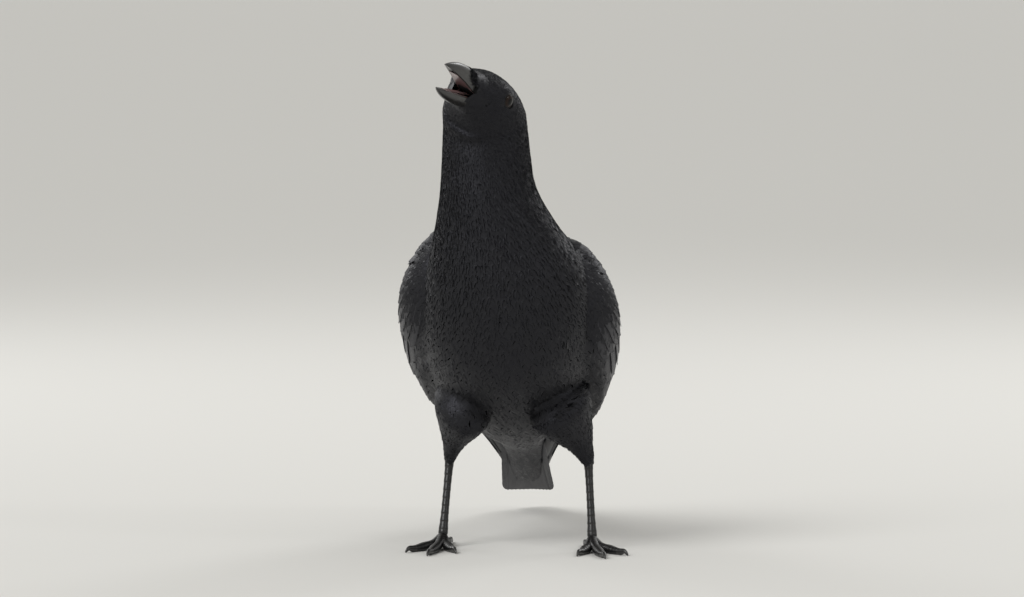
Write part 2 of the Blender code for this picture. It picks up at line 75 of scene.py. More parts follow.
# The head, from the corner of the mouth, in its own directions: forward, up, pitch, half width, depth above,
# depth below, depth of the coat, feather length, row spacing.
headRings = (
    (-30, 3, 28, 29.5, 25.5, 29.5, 2.2, 8.6, 2.0),
    (-20, 5.5, 12, 27.5, 22, 25.2, 1.8, 6.6, 1.6),
    (-9.5, 6.5, 4, 24, 18.6, 21.8, 1.3, 4.8, 1.2),
    (-0.5, 5.5, 0, 18, 15.4, 18.5, 1.0, 3.6, 1.0),
    (8, 4, 0, 12.3, 11.8, 16, 0.8, 3.4, 0.95),
    (14, 3, 0, 9.6, 9.6, 14.6, 0.6, 3.2, 0.9),
)
# The eye and the coat round its lid: bare is free of feathers, and the coat reaches the lid's height at the
# rim and falls by fall for each millimetre away from it.
eye = {
    "place": (-10.0, 18.6, 10.5), "radius": 6.5, "axis": (0.22, 1.0, 0.06), "opening": 45.0, "bare": 4.9,
    "rimHeight": 22.9, "fall": 0.45, "reach": 8.0, "mostLift": 3.0, "socketGap": 0.25, "atLeast": 10.0,
    "near": 14.0, "shortest": 1.2,  # feathers that start near behind the rim end at it, none shorter
    "pole": 0.012, "rows": 48, "columns": 64,
}


def smooth(x):
    x = np.clip(x, 0.0, 1.0)
    return x * x * (3 - 2 * x)


def unit(vectors):
    return vectors / np.linalg.norm(vectors, axis=-1, keepdims=True)


# Brings arrays to one shape and stacks them along a new last axis, such as x, y and z to points.
def stacked(*parts):
    return np.stack(np.broadcast_arrays(*parts), axis=-1)


# Angles evenly round a circle.
def circle(count):
    return np.linspace(0, 2 * math.pi, count + 1)[:-1]


# Points on a ball of radius one: cos polar * axis + sin polar * (cos turn * across + sin turn * up).
def onBall(axes, polar, turn):
    axis, across, up = axes
    return np.cos(polar) * axis + np.sin(polar) * (np.cos(turn) * across + np.sin(turn) * up)


# The smooth cubic curve through rows of numbers, read at t, where whole numbers are the rows. Each
# row's slope is half the step between its neighbours.
def curveThrough(rows, t):
    rows = np.asarray(rows, float)
    t = np.clip(np.asarray(t, float), 0, len(rows) - 1)
    i = np.minimum(t.astype(int), len(rows) - 2)
    x = (t - i)[..., None]
    slopes = np.gradient(rows, axis=0)
    return (
        rows[i] * (2 * x**3 - 3 * x**2 + 1) + slopes[i] * (x**3 - 2 * x**2 + x)
        + rows[i + 1] * (3 * x**2 - 2 * x**3) + slopes[i + 1] * (x**3 - x**2)
    )


eyeAxis = np.array(eye["axis"]) / np.linalg.norm(eye["axis"])
rimPlace = np.array(eye["place"]) + eyeAxis * eye["radius"] * math.cos(math.radians(eye["opening"]))


def turned(yaw, pitch, roll):
    return np.array(
        Matrix.Rotation(math.radians(yaw), 3, "Z") @ Matrix.Rotation(math.radians(-pitch), 3, "Y")
        @ Matrix.Rotation(math.radians(-roll), 3, "X")
    )


headTurn = turned(pose["headYaw"], pose["headPitch"], pose["headRoll"])
mouthReach = pose["mouthCorner"][0] - pose["neckAxis"]
mouthPlace = np.array((pose["neckAxis"], pose["neckLean"], pose["mouthCorner"][1]))
mouthPlace = mouthPlace + turned(pose["headYaw"], 0, 0) @ np.array((mouthReach, 0.0, 0.0))


def inHead(points):
    return mouthPlace + np.asarray(points, float) @ headTurn.T


def headOwn(points):
    return (np.asarray(points, float) - mouthPlace) @ headTurn


# The frame stands on the middle of its own box, so the shift is read from an eye, whose place is known.
eyeLow, eyeHigh = (np.array(corner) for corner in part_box("eye_left"))
eyeBird = inHead(eye["place"])
shift = (eyeLow + eyeHigh) / 2 - np.array((eyeBird[1], -eyeBird[0], eyeBird[2])) / 1000


def toWorld(points):
    points = np.asarray(points, float)
    return stacked(points[..., 1], -points[..., 0], points[..., 2]) / 1000 + shift


# Every ring as one row: centre, left axis, up axis, half width, depths above and below, flatness of the
# back, coat depth, feather length and row spacing.
def ringRows():
    rows = []
    for forward, up, pitch, half, above, below, share, flat, *coat in bodyRings:
        lean = pose["neckLean"] * float(smooth((up - pose["leanFrom"]) / (pose["leanTo"] - pose["leanFrom"])))
        reach = np.array((forward - pose["neckAxis"], 0.0, 0.0))
        centre = np.array((pose["neckAxis"], lean, up)) + turned(pose["headYaw"] * share, 0, 0) @ reach
        own = turned(pose["headYaw"] * share, pitch, pose["headRoll"] * share)
        rows.append((*centre, *own[:, 1], *own[:, 2], half, above, below, flat, *coat))
    for forward, up, pitch, half, above, below, *coat in headRings:
        own = headTurn @ turned(0, pitch, 0)
        rows.append((*inHead((forward, 0, up)), *own[:, 1], *own[:, 2], half, above, below, 1.0, *coat))
    return np.array(rows)


bodyRows = ringRows()


# A sheet is a grid of points with its outward normals, the millimetres in one step each way, the distance
# along each column (far), and the row found at each distance (rowAt, from pad before the first row).
arc = {"step": 0.5, "pad": 60.0}


def makeSheet(points, closed, inside=None):
    along = np.gradient(points, axis=0)
    across = np.gradient(points, axis=1)
    if closed:
        across = (np.roll(points, -1, axis=1) - np.roll(points, 1, axis=1)) / 2
    normals = np.cross(along, across)
    normals /= np.linalg.norm(normals, axis=-1, keepdims=True) + 1e-12
    middle = points.mean(axis=1, keepdims=True) if inside is None else inside
    if np.sum(normals * (points - middle)) < 0:
        normals = -normals
    rows, columns = points.shape[:2]
    pieces = np.linalg.norm(np.diff(points, axis=0), axis=-1)
    far = np.concatenate((np.zeros((1, columns)), np.cumsum(pieces, axis=0)))
    past = np.concatenate(((-arc["pad"] / pieces[0])[None], np.arange(rows)[:, None] + np.zeros((1, columns)),
                           (rows - 1 + arc["pad"] / pieces[-1])[None]))
    reach = np.concatenate((far[:1] - arc["pad"], far, far[-1:] + arc["pad"]))
    marks = np.arange(-arc["pad"], far.max() + arc["pad"], arc["step"])
    rowAt = np.stack([np.interp(marks, reach[:, c], past[:, c]) for c in range(columns)], axis=1)
    return {
        "points": points, "normals": normals, "closed": closed, "far": far, "rowAt": rowAt,
        "alongStep": np.linalg.norm(along, axis=-1), "acrossStep": np.linalg.norm(across, axis=-1),
    }


# The row reached from (i, j) by going distance millimetres along the column.
def rowFrom(sheet, i, j, distance):
    there = readGrid(sheet["far"], i, j, sheet["closed"]) + distance + arc["pad"]
    return readGrid(sheet["rowAt"], there / arc["step"], j, sheet["closed"])


# Reads a grid at fractional rows i and columns j, straight between its four nearest points. Past the
# first and last row, and past the side edges of an open sheet, it goes on in a straight line.
def readGrid(grid, i, j, closed):
    rows, columns = grid.shape[:2]
    i0 = np.clip(np.floor(i).astype(int), 0, rows - 2)
    fi = i - i0
    if closed:
        j = np.mod(j, columns)
        j0 = np.floor(j).astype(int) % columns
        j1 = (j0 + 1) % columns
        fj = j - np.floor(j)
    else:
        j0 = np.clip(np.floor(j).astype(int), 0, columns - 2)
        j1 = j0 + 1
        fj = j - j0
    if grid.ndim == 3:
        fi, fj = fi[..., None], fj[..., None]
    return (
        grid[i0, j0] * (1 - fi) * (1 - fj) + grid[i0 + 1, j0] * fi * (1 - fj)
        + grid[i0, j1] * (1 - fi) * fj + grid[i0 + 1, j1] * fi * fj
    )


# The points at (i, j) of a sheet, raised by height along its normals.
def overSheet(sheet, i, j, height):
    closed = sheet["closed"]
    return readGrid(sheet["points"], i, j, closed) + readGrid(sheet["normals"], i, j, closed) * height


# The body's outer form: at t along the rings and angle a, centre + left * half width * cos a
# + up * depth * sin a, pushed out by grow. Over the back both cos and sin are raised to flat, which
# squares the top of the ring where flat is under 1.
def bodyForm(t, a, grow=0.0):
    row = curveThrough(bodyRows, t)[:, None, :]
    left = unit(row[..., 3:6])
    up = unit(row[..., 6:9] - left * np.sum(left * row[..., 6:9], axis=-1, keepdims=True))
    sine, cosine = np.sin(a)[None, :, None], np.cos(a)[None, :, None]
    over = np.where(sine > 0, row[..., 12:13], 1.0)
    sine = np.sign(sine) * np.abs(sine) ** over
    cosine = np.sign(cosine) * np.abs(cosine) ** over
    depth = np.where(sine > 0, row[..., 10:11], row[..., 11:12])
    return row[..., 0:3] + left * (row[..., 9:10] + grow) * cosine + up * (depth + grow) * sine


bodyGrid = {"rows": 480, "columns": 256}
bodyT = np.linspace(0, len(bodyRows) - 1, bodyGrid["rows"])
bodyA = np.arange(bodyGrid["columns"]) * 2 * math.pi / bodyGrid["columns"]
bodyCoat = curveThrough(bodyRows, bodyT)[:, 13:16]
bodySheet = makeSheet(bodyForm(bodyT, bodyA), True)
print("body form ready")


# Makes a mesh one smooth piece of the model.
def addPiece(name, mesh, material):
    mesh.polygons.foreach_set("use_smooth", [True] * len(mesh.polygons))
    mesh.materials.append(material)
    made = bpy.data.objects.new(name, mesh)
    bpy.context.scene.collection.objects.link(made)
    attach(made, "root")
    return made


def meshObject(name, points, faces, material):
    mesh = bpy.data.meshes.new(name)
    mesh.from_pydata(toWorld(points).reshape(-1, 3).tolist(), [], np.asarray(faces).tolist())
    return addPiece(name, mesh, material)


# Faces of a grid of rows x columns points, closed round where asked.
def gridFaces(rows, columns, closed=False):
    i, j = np.meshgrid(np.arange(rows - 1), np.arange(columns if closed else columns - 1), indexing="ij")
    k = (j + 1) % columns
    return stacked(
        i * columns + j, i * columns + k, (i + 1) * columns + k, (i + 1) * columns + j
    ).reshape(-1, 4)


# Turns a mesh's faces outwards, with double points joined and open ends closed first where asked.
def faceOut(mesh, joined=False, caps=False):
    shape = bmesh.new()
    shape.from_mesh(mesh)
    if joined:
        bmesh.ops.remove_doubles(shape, verts=shape.verts, dist=1e-6)
    if caps:
        bmesh.ops.holes_fill(shape, edges=[edge for edge in shape.edges if edge.is_boundary], sides=0)
    bmesh.ops.recalc_face_normals(shape, faces=shape.faces)
    shape.to_mesh(mesh)
    shape.free()
    mesh.polygons.foreach_set("use_smooth", [True] * len(mesh.polygons))


# A closed piece from a grid of points closed round, with its two ends filled.
def closedGrid(name, points, material):
    made = meshObject(name, points, gridFaces(*points.shape[:2], closed=True), material)
    faceOut(made.data, joined=True, caps=True)
    return made


# Gives each point of a mesh a number, which its material reads by that name.
def setValues(mesh, name, values):
    mesh.attributes.new(name, "FLOAT", "POINT").data.foreach_set("value", values)


# Lays a map on a mesh from one (u, v) for each of its points.
def setMap(mesh, name, places):
    loops = np.empty(len(mesh.loops), int)
    mesh.loops.foreach_get("vertex_index", loops)
    mesh.uv_layers.new(name=name).data.foreach_set("uv", places.reshape(-1, 2)[loops].ravel())


def linear(hexColour):
    parts = [int(hexColour[k:k + 2], 16) / 255 for k in (1, 3, 5)]
    return [x / 12.92 if x <= 0.04045 else ((x + 0.055) / 1.055) ** 2.4 for x in parts] + [1.0]


def newMaterial(name, **sockets):
    made = bpy.data.materials.new(name)
    made.use_nodes = True
    shader = made.node_tree.nodes["Principled BSDF"]
    for socket, value in sockets.items():
        shader.inputs[socket.replace("_", " ")].default_value = value
    return made, made.node_tree, shader


# The two colours of a colour mix, which are its inputs 6 and 7.
def between(dark, light):
    return {6: linear(dark), 7: linear(light)}


# Links sockets to a node's inputs.
def feed(tree, node, links):
    for key, socket in links.items():
        tree.links.new(socket, node.inputs[key])


# Adds a node of that kind with its settings, input values and links from other sockets.
def addNode(tree, kind, settings=None, values=None, links=None):
    node = tree.nodes.new("ShaderNode" + kind)
    for key, value in (settings or {}).items():
        setattr(node, key, value)
    for key, value in (values or {}).items():
        node.inputs[key].default_value = value
    feed(tree, node, links or {})
    return node


# Feather keratin, grown as vanes of fine barbs: black, with a soft satin sheen that runs along the barbs.
# Its vane map is in centimetres, across the shaft and along it. The barbs are a sine wave of
# along - slant * |across| + 0.06 * noise, so they slant back from the shaft and wander a little.
def featherVane(name, dark, light, rough, gloss, barbMm, barbDepth, slant):
    made, tree, shader = newMaterial(
        name, Specular_IOR_Level=gloss, IOR=1.54, Specular_Tint=linear("#dfe0f0"),  # a faint cold gloss
        Sheen_Weight=0.03, Sheen_Roughness=0.4, Sheen_Tint=linear("#8f93b8"),
    )
    vane = addNode(tree, "UVMap", {"uv_map": "Vane"}).outputs[0]
    across, along, _ = addNode(tree, "SeparateXYZ", links={0: vane}).outputs
    side = addNode(tree, "Math", {"operation": "ABSOLUTE"}, links={0: across}).outputs[0]
    back = addNode(tree, "Math", {"operation": "MULTIPLY_ADD"}, {1: -slant}, {0: side, 2: along}).outputs[0]
    noise = addNode(
        tree, "TexNoise", values={"Scale": 9.0, "Detail": 3.0, "Roughness": 0.6}, links={"Vector": vane}
    ).outputs["Fac"]
    place = addNode(tree, "Math", {"operation": "MULTIPLY_ADD"}, {1: 0.06}, {0: noise, 2: back}).outputs[0]
    barbs = addNode(tree, "Math", {"operation": "MULTIPLY"}, {1: 2 * math.pi * 10 / barbMm}, {0: place})
    wave = addNode(tree, "Math", {"operation": "SINE"}, links={0: barbs.outputs[0]}).outputs[0]
    bump = addNode(tree, "Bump", values={"Strength": barbDepth, "Distance": 0.0004}, links={"Height": wave})
    # the tone attribute is each vane's random tone plus a painted sheen on its edges, which lightens the
    # colour there
    toneAndEdgeSheen = addNode(tree, "Attribute", {"attribute_name": "toneAndEdgeSheen"}).outputs["Fac"]
    patchesAndEdgeSheen = addNode(tree, "Math", {"operation": "MULTIPLY_ADD"}, {1: 0.5}, {0: noise, 2: toneAndEdgeSheen}).outputs[0]
    colour = addNode(tree, "Mix", {"data_type": "RGBA"}, between(dark, light), {0: patchesAndEdgeSheen})
    roughness = addNode(
        tree, "MapRange", values={1: 0.0, 2: 1.4, 3: rough - 0.07, 4: rough + 0.1}, links={0: patchesAndEdgeSheen}
    )
    feed(tree, shader, {
        "Base Color": colour.outputs[2], "Roughness": roughness.outputs[0], "Normal": bump.outputs[0],
    })
    return made


contourVane = featherVane("contour_feather_keratin", "#070707", "#161616", 0.46, 0.32, 1.0, 0.14, 1.1)
flightVane = featherVane("flight_feather_keratin", "#080808", "#181819", 0.36, 0.42, 1.2, 0.12, 0.9)
downyVane = featherVane("head_feather_keratin", "#070707", "#151515", 0.48, 0.3, 0.8, 0.12, 1.2)


# Skin under the plumage: thin and dull, and nearly black as painted shade, so that gaps between feathers read
# as depth.
def bareSkin():
    made, tree, shader = newMaterial("skin_under_plumage", Roughness=0.8, Specular_IOR_Level=0.2)
    grain = addNode(tree, "TexNoise", values={"Scale": 900.0, "Detail": 2.0}).outputs["Fac"]
    colour = addNode(tree, "Mix", {"data_type": "RGBA"}, between("#080808", "#121213"), {0: grain})
    feed(tree, shader, {"Base Color": colour.outputs[2]})
    return made


skinBlack = bareSkin()


# A thigh from the hip down to the ankle. The spacing is that of its feather rows from top to bottom, and
# drape is how far over it the body's feathers fall.
thigh = {
    "hip": (20.0, 28.0, 118.0), "topRadius": 31.0, "footRadius": 5.0, "wide": 0.74, "taper": 1.25,
    "cap": 0.05, "capEnd": 0.36, "coat": 2.2,
    "ankleBack": 22.0, "ankleIn": 4.0, "ankleHeight": 62.0, "overAnkle": 5.0,
    "drape": 0.6, "drapeFrom": 0.34, "drapeEase": 0.2, "drapeMost": 7.0,
    "spacingAt": (0.0, 0.1, 0.35, 0.6, 1.0), "spacing": (2.4, 3.0, 4.4, 3.8, 2.2),
    "bendFrom": 0.45, "bend": 7.0,  # its lower end bends down the shank by that much
}
# Where each foot stands: forward, left, and degrees turned out.
legs = {"right": (2.0, -48.0, 8.0), "left": (12.0, 59.0, 13.0)}
# A toe is its angle out from straight ahead, its length and the reach of its claw.
leg = {
    "foot": 4.2, "sole": 1.1, "radius": 2.7, "ankleRadius": 4.0, "topOfFoot": 3.0, "hidden": 0.02,
    "heel": 0.08, "scutes": 11, "scuteStep": 0.34,
    "toes": {
        "hind": (180.0, 21.0, 15.0), "inner": (-27.0, 27.0, 11.5), "middle": (0.0, 40.0, 12.5),
        "outer": (29.0, 30.0, 11.0),
    },
    "toeRadius": 3.9, "toeTip": 2.9, "toeDrop": 0.9, "toeArch": 4.0, "toePlate": 3.1, "toeStep": 0.3,
    "clawCurve": 62.0, "clawGap": 0.7, "clawRadius": 2.2, "clawPoint": 0.42, "clawEnd": 0.45,
}


def anklePlace(side):
    forward, left, _ = legs[side]
    left = left - sides[side] * thigh["ankleIn"]
    return np.array((forward - thigh["ankleBack"], left, thigh["ankleHeight"]))


# A tube round a path: ring k at point k, radius by the row, scaled sideways by wide. The ring's side axis
# is level, or follows the axis given, and its up axis squares it to the path.
def tubePoints(path, radii, wide, count, level=None):
    way = unit(np.gradient(path, axis=0))
    side = np.cross(way, (0.0, 0.0, 1.0)) if level is None else level - way * (way @ level)[:, None]
    steep = np.linalg.norm(side, axis=1) < 0.5
    side[steep] = np.cross(way[steep], (1.0, 0.0, 0.0))
    side = unit(side)
    up = np.cross(side, way)
    a = (np.arange(count) + 0.5) * 2 * math.pi / count
    ring = side[:, None] * wide * np.cos(a)[None, :, None] + up[:, None] * np.sin(a)[None, :, None]
    return path[:, None] + ring * np.asarray(radii)[:, None, None]


# The thigh's outer form at x from hip to ankle: the radius falls from topRadius to footRadius by
# cos(pi x / 2) ^ taper, times a sine that rounds the top off as far as capEnd. The path is straight from the
# hip and then bends down the shank by bend * ((x - bendFrom) / (1 - bendFrom)) ^ 3.
def thighForm(side, grow=0.0, rows=60, count=64):
    top = np.array((thigh["hip"][0], sides[side] * thigh["hip"][1], thigh["hip"][2]))
    foot = anklePlace(side) + np.array((0.0, 0.0, thigh["overAnkle"]))
    shank = np.array((*legs[side][:2], leg["foot"])) - anklePlace(side)
    x = np.linspace(0, 1, rows)
    taper = np.cos(math.pi * x / 2) ** thigh["taper"]
    radii = thigh["footRadius"] + (thigh["topRadius"] - thigh["footRadius"]) * taper
    cap = np.sin(math.pi / 2 * np.minimum(x / thigh["capEnd"], 1.0))
    radii = radii * (thigh["cap"] + (1 - thigh["cap"]) * cap) + grow
    bend = thigh["bend"] * np.maximum((x - thigh["bendFrom"]) / (1 - thigh["bendFrom"]), 0.0) ** 3
    path = top + (foot - top) * x[:, None] + shank / np.linalg.norm(shank) * bend[:, None]
    level = np.cross(foot - top, (0.0, 0.0, 1.0)) / 40.0  # about one unit long
    return tubePoints(path, radii, thigh["wide"], count, level)


def applied(made):
    graph = bpy.context.evaluated_depsgraph_get()
    mesh = bpy.data.meshes.new_from_object(made.evaluated_get(graph))
    made.modifiers.clear()
    old, made.data = made.data, mesh
    bpy.data.meshes.remove(old)


# Joins another closed piece to this one, or cuts it out of it, and takes the other away.
def combine(made, other, operation):
    step = made.modifiers.new("combine", "BOOLEAN")
    step.operation, step.object, step.solver = operation, other, "EXACT"
    applied(made)
    mesh = other.data
    bpy.data.objects.remove(other)
    bpy.data.meshes.remove(mesh)


# The lower half of the bill swings down about the corner of the mouth, a little under its line.
def lowerBillPlace(points):
    points = np.array(points, float)
    swing = math.radians(pose["billOpen"])
    x, side, z = points[..., 0], points[..., 1], points[..., 2] - pose["billUnder"]
    forward = x * math.cos(swing) + z * math.sin(swing)
    return inHead(stacked(forward, side, z * math.cos(swing) - x * math.sin(swing)))


# The mouth's gap in the skin and the coat. It deepens by slope for each millimetre forward.
mouthGap = {
    "slope": 0.34, "reach": (1.5, 24), "half": 15, "below": 0.5,
    "bareFrom": 1.0, "bareUnder": 1.3, "bareBelow": 1.8,
}


bareBody = {"rows": 260, "voxel": 0.0016}  # the voxel in metres


# The skin is the body's form and both thighs, each drawn in by the depth of the coat, joined to one
# closed skin by a voxel remesh and opened at the mouth and the eyes.
def makeSkin():
    t = np.linspace(0.0, len(bodyRows) - 1, bareBody["rows"])
    coat = curveThrough(bodyRows, t)[:, 13][:, None, None]
    skin = closedGrid("skin", bodyForm(t, bodyA[::2], -coat), skinBlack)
    for side in legs:
        combine(skin, closedGrid("leg_" + side, thighForm(side, -thigh["coat"]), skinBlack), "UNION")
    half = mouthGap["half"]
    low = [(x, -x * mouthGap["slope"] - mouthGap["below"]) for x in mouthGap["reach"]]
    mouth = np.array([((x, half, 0), (x, half, z), (x, -half, z), (x, -half, 0)) for x, z in low])
    cutters = [closedGrid("mouth_gap", inHead(mouth), skinBlack)]
    polar = np.linspace(0.02, math.pi - 0.02, 16)[:, None, None]
    ball = onBall(np.eye(3), polar, circle(32)[None, :, None]) * (eye["radius"] + eye["socketGap"])
    for sign in (1, -1):
        cutters.append(closedGrid("socket", inHead(ball + np.array(eye["place"]) * (1, sign, 1)), skinBlack))
    remesh = skin.modifiers.new("remesh", "REMESH")
    remesh.mode, remesh.voxel_size, remesh.use_smooth_shade = "VOXEL", bareBody["voxel"], True
    applied(skin)
    for cutter in cutters:
        combine(skin, cutter, "DIFFERENCE")
    skin.data.polygons.foreach_set("use_smooth", [True] * len(skin.data.polygons))
    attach(skin, "root")
    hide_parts("head", "neck", "trunk", "thigh_left", "thigh_right")


makeSkin()
print("skin ready")


# Places for feathers in rows down a sheet: each row lies one spacing further on, measured along the
# surface, and the places in it lie columns * spacing apart, each row half a step out of line. Spacing and
# columns are one number for each row of the sheet, or one for all.
def layRows(sheet, spacing, columns, fromEnd=True, jitter=0.22):
    size = sheet["points"].shape[:2]
    spacing, share = (np.broadcast_to(np.reshape(x, (-1, 1)), size) for x in (spacing, columns))
    points, gap, spread = (x[::-1] if fromEnd else x for x in (sheet["points"], spacing, spacing * share))
    rows, count = points.shape[:2]
    steps = np.linalg.norm(np.diff(points, axis=0), axis=-1) / ((gap[1:] + gap[:-1]) / 2)
    far = np.vstack((np.zeros((1, count)), np.cumsum(steps, axis=0)))
    i, j = [], []
    for k in range(int(far[-1].max())):
        row = np.array([np.interp(k + 0.5, line, np.arange(rows), left=-1, right=-1) for line in far.T])
        if sheet["closed"]:
            row = np.append(row, row[0])
        across = np.arange(len(row)).astype(float)
        here = readGrid(points, np.maximum(row, 0), across, sheet["closed"])
        wide = readGrid(spread, np.maximum(row, 0), across, sheet["closed"])
        step = np.linalg.norm(np.diff(here, axis=0), axis=1) / ((wide[1:] + wide[:-1]) / 2)
        run = np.append(0, np.cumsum(step))
        column = np.interp(np.arange(0.25 + 0.5 * (k % 2), run[-1], 1.0), run, across)
        keep = np.interp(column, across, (row < 0).astype(float)) == 0
        i.append(np.interp(column, across, row)[keep])
        j.append(column[keep])
    i, j = np.concatenate(i), np.concatenate(j)
    i = rows - 1 - i if fromEnd else i
    closed = sheet["closed"]
    gapHere = readGrid(spacing, i, j, closed)
    i = i + dice.uniform(-jitter, jitter, len(i)) * gapHere / readGrid(sheet["alongStep"], i, j, closed)
    gapHere = readGrid(spacing * share, i, j, closed)
    j = j + dice.uniform(-jitter, jitter, len(j)) * gapHere / readGrid(sheet["acrossStep"], i, j, closed)
    return i, j


# The outline of a vane, half width 0 to 1 along 0 to 1: it widens to its shoulder, then rounds in to its
# tip. A low point gives a round end and a high one a narrow end.
def vaneWidth(v, look):
    rise = look["root"] + (1 - look["root"]) * smooth(v / look["shoulder"])
    past = np.clip((v - look["shoulder"]) / (1 - look["shoulder"]), 0, 1)
    outline = rise * np.sqrt(1 - past ** (2 / look["point"]))
    return np.maximum(outline, look["tipWidth"] * (v > 0.5))


# Makes one mesh of many vanes from points of shape (vane, along, across, 3), with the map that the barbs
# follow in centimetres, a random tone for each vane, lighter to its rim by a painted sheen on the edges that
# is partly wear, and the bake's map.
def vaneMesh(name, points, vane, rim, patches, material):
    count, nv, nu = points.shape[:3]
    faces = (np.arange(count)[:, None, None] * nu * nv + gridFaces(nv, nu)[None]).reshape(-1, 4)
    made = meshObject(name, points, faces, material)
    setMap(made.data, "Vane", vane / 10)
    setMap(made.data, "OFBake", patches)
    # the rim term lightens each vane's edges and tip: painted sheen that picks out its outline, partly wear
    toneAndEdgeSheen = dice.uniform(0, 0.5, count)[:, None, None] + 0.4 * rim
    setValues(made.data, "toneAndEdgeSheen", np.broadcast_to(toneAndEdgeSheen, (count, nv, nu)).ravel())
    print(name, count, "vanes,", len(faces) * 2, "triangles")
    return made


# Grows vanes on a sheet. Each is a small grid bent to the sheet: across by u from -1 to 1 and along by v
# from 0 to 1 from its root at (i, j), along the rows by way, turned by turn. Its height over the sheet
# goes from root to tip, its sides droop by cup, its shaft stands up by shaft, and its end is frayed. A
# value of the look is one number for all, or one for each vane. In the bake's map a vane is a small patch
# at its root's place on the sheet.
def growVanes(
    name, sheet, i, j, length, width, turn, rootHeight, tipHeight, look, material, way=-1.0, settle=None
):
    count, nu, nv = len(i), look["columns"], look["rows"]
    length, width, turn, rootHeight, tipHeight = (
        np.broadcast_to(np.asarray(x, float), (count,))[:, None, None]
        for x in (length, width, turn, rootHeight, tipHeight)
    )
    look = {key: np.broadcast_to(np.asarray(x, float), (count,))[:, None, None] for key, x in look.items()}
    u = np.linspace(-1, 1, nu)[None, None, :]
    v = (np.linspace(0, 1, nv) ** 0.8)[None, :, None]
    ragged = dice.uniform(0, 1, (count, 1, nu)) * look["fray"] * np.where(np.arange(nu) % 2, 1.0, 0.25)
    reach = 1 - look["roundness"] * u**2 - ragged
    along = length * v * (1 + (reach - 1) * v**2)
    across = width * vaneWidth(v, look) * u
    across = across + look["sweep"] * width * v**2 * dice.uniform(-1, 1, (count, 1, 1))
    step = along * np.cos(turn) + across * np.sin(turn)
    aside = across * np.cos(turn) - along * np.sin(turn)
    closed = sheet["closed"]
    i0, j0 = i[:, None, None], j[:, None, None]
    gi = rowFrom(sheet, i0, j0, way * step)
    gj = j0 + aside / readGrid(sheet["acrossStep"], gi, j0 + 0 * gi, closed)
    height = rootHeight + (tipHeight - rootHeight) * v ** look["rise"]
    height = height - look["cup"] * width * u**2 * (0.3 + 0.7 * v) + look["shaft"] * (u == 0) * (1 - 0.7 * v)
    height = height + dice.uniform(-1, 1, (count, 1, 1)) * look["lift"] * v**2
    points = overSheet(sheet, gi, gj, height[..., None])
    points = settle(points) if settle else points
    rows, columns = sheet["points"].shape[:2]
    root = stacked(np.mod(j / columns, 1), np.clip(i / rows, 0, 1)) * 0.98 + 0.01
    patch = stacked(u * 0.5, v - 0.5) * 0.003
    # rim: lighter sides and tip of the vane, a painted sheen on its edges, partly wear
    rim = np.abs(u) ** 3 * (0.4 + 0.6 * v) + 0.5 * v**6
    return vaneMesh(name, points, stacked(across, along), rim, root[:, None, None] + patch, material)


bodyLook = {
    "columns": 7, "rows": 6, "shoulder": 0.55, "point": 1.0, "root": 0.35, "tipWidth": 0.3, "rise": 0.8,
    "roundness": 0.16, "fray": 0.12, "cup": 0.1, "shaft": 0.1, "lift": 0.3, "sweep": 0.25,
}
# How the coat changes from ring to ring: broad round feathers on the body, narrow pointed hackles on the
# neck and short dense ones on the head. Columns is the spacing across the rows as a share of the rows'.
coatShape = {
    "ring": (0, 4.5, 7.0, 8.5, 10, 12.5, 14, 18),
    "columns": (0.95, 0.95, 0.9, 0.78, 0.66, 0.62, 0.62, 0.62),
    "point": (1.0, 1.0, 1.15, 1.35, 1.6, 1.5, 1.4, 1.4),
    "roundness": (0.16, 0.16, 0.2, 0.25, 0.3, 0.3, 0.3, 0.3),
    "fray": (0.12, 0.12, 0.14, 0.16, 0.18, 0.2, 0.24, 0.3),
    "lift": (0.3, 0.3, 0.28, 0.22, 0.16, 0.12, 0.15, 0.3),
    "shaft": (0.08, 0.08, 0.06, 0.04, 0.03, 0.03, 0.05, 0.08),
    "cup": (0.08, 0.08, 0.07, 0.05, 0.04, 0.04, 0.04, 0.04),
    "sink": (0.6, 0.6, 0.55, 0.5, 0.45, 0.45, 0.5, 0.6),
}


# How far each point that lies inside the upper part of a thigh is from its surface, straight away from its
# axis. The body's feathers fall over the thighs by it.
def toThighs(points):
    total = np.zeros(points.shape)
    straight = 20  # a row of the form before its path bends
    for side in legs:
        form = thighForm(side, thigh["drape"])
        path = form.mean(axis=1)
        way = (path[straight] - path[0]) / straight * (len(path) - 1)
        x = (points - path[0]) @ way / (way @ way)
        level = np.cross(way, (0.0, 0.0, 1.0))
        over = np.cross(level, way)
        level, over = level / np.linalg.norm(level), over / np.linalg.norm(over)
        away = points - path[0] - x[..., None] * way
        radii = np.linalg.norm(form - path[:, None], axis=-1).max(axis=1)
        wide, high = away @ level / thigh["wide"], away @ over
        near = np.hypot(wide, high) + 1e-6
        share = np.interp(x, np.linspace(0, 1, len(path)), radii, left=0, right=0) / near
        share = np.maximum(share, 1.0) - 1.0
        share = share * (1 - smooth((x - thigh["drapeFrom"]) / thigh["drapeEase"]))
        total += level * (wide * thigh["wide"] * share)[..., None] + over * (high * share)[..., None]
    return total


def overThighs(points):
    return points + toThighs(points)


# Which places on a sheet lie outside the thighs, or so little inside that a feather can fall over them.
def clearOfThighs(sheet, i, j):
    points = readGrid(sheet["points"], i, j, sheet["closed"])
    return np.linalg.norm(toThighs(points), axis=-1) < thigh["drapeMost"]


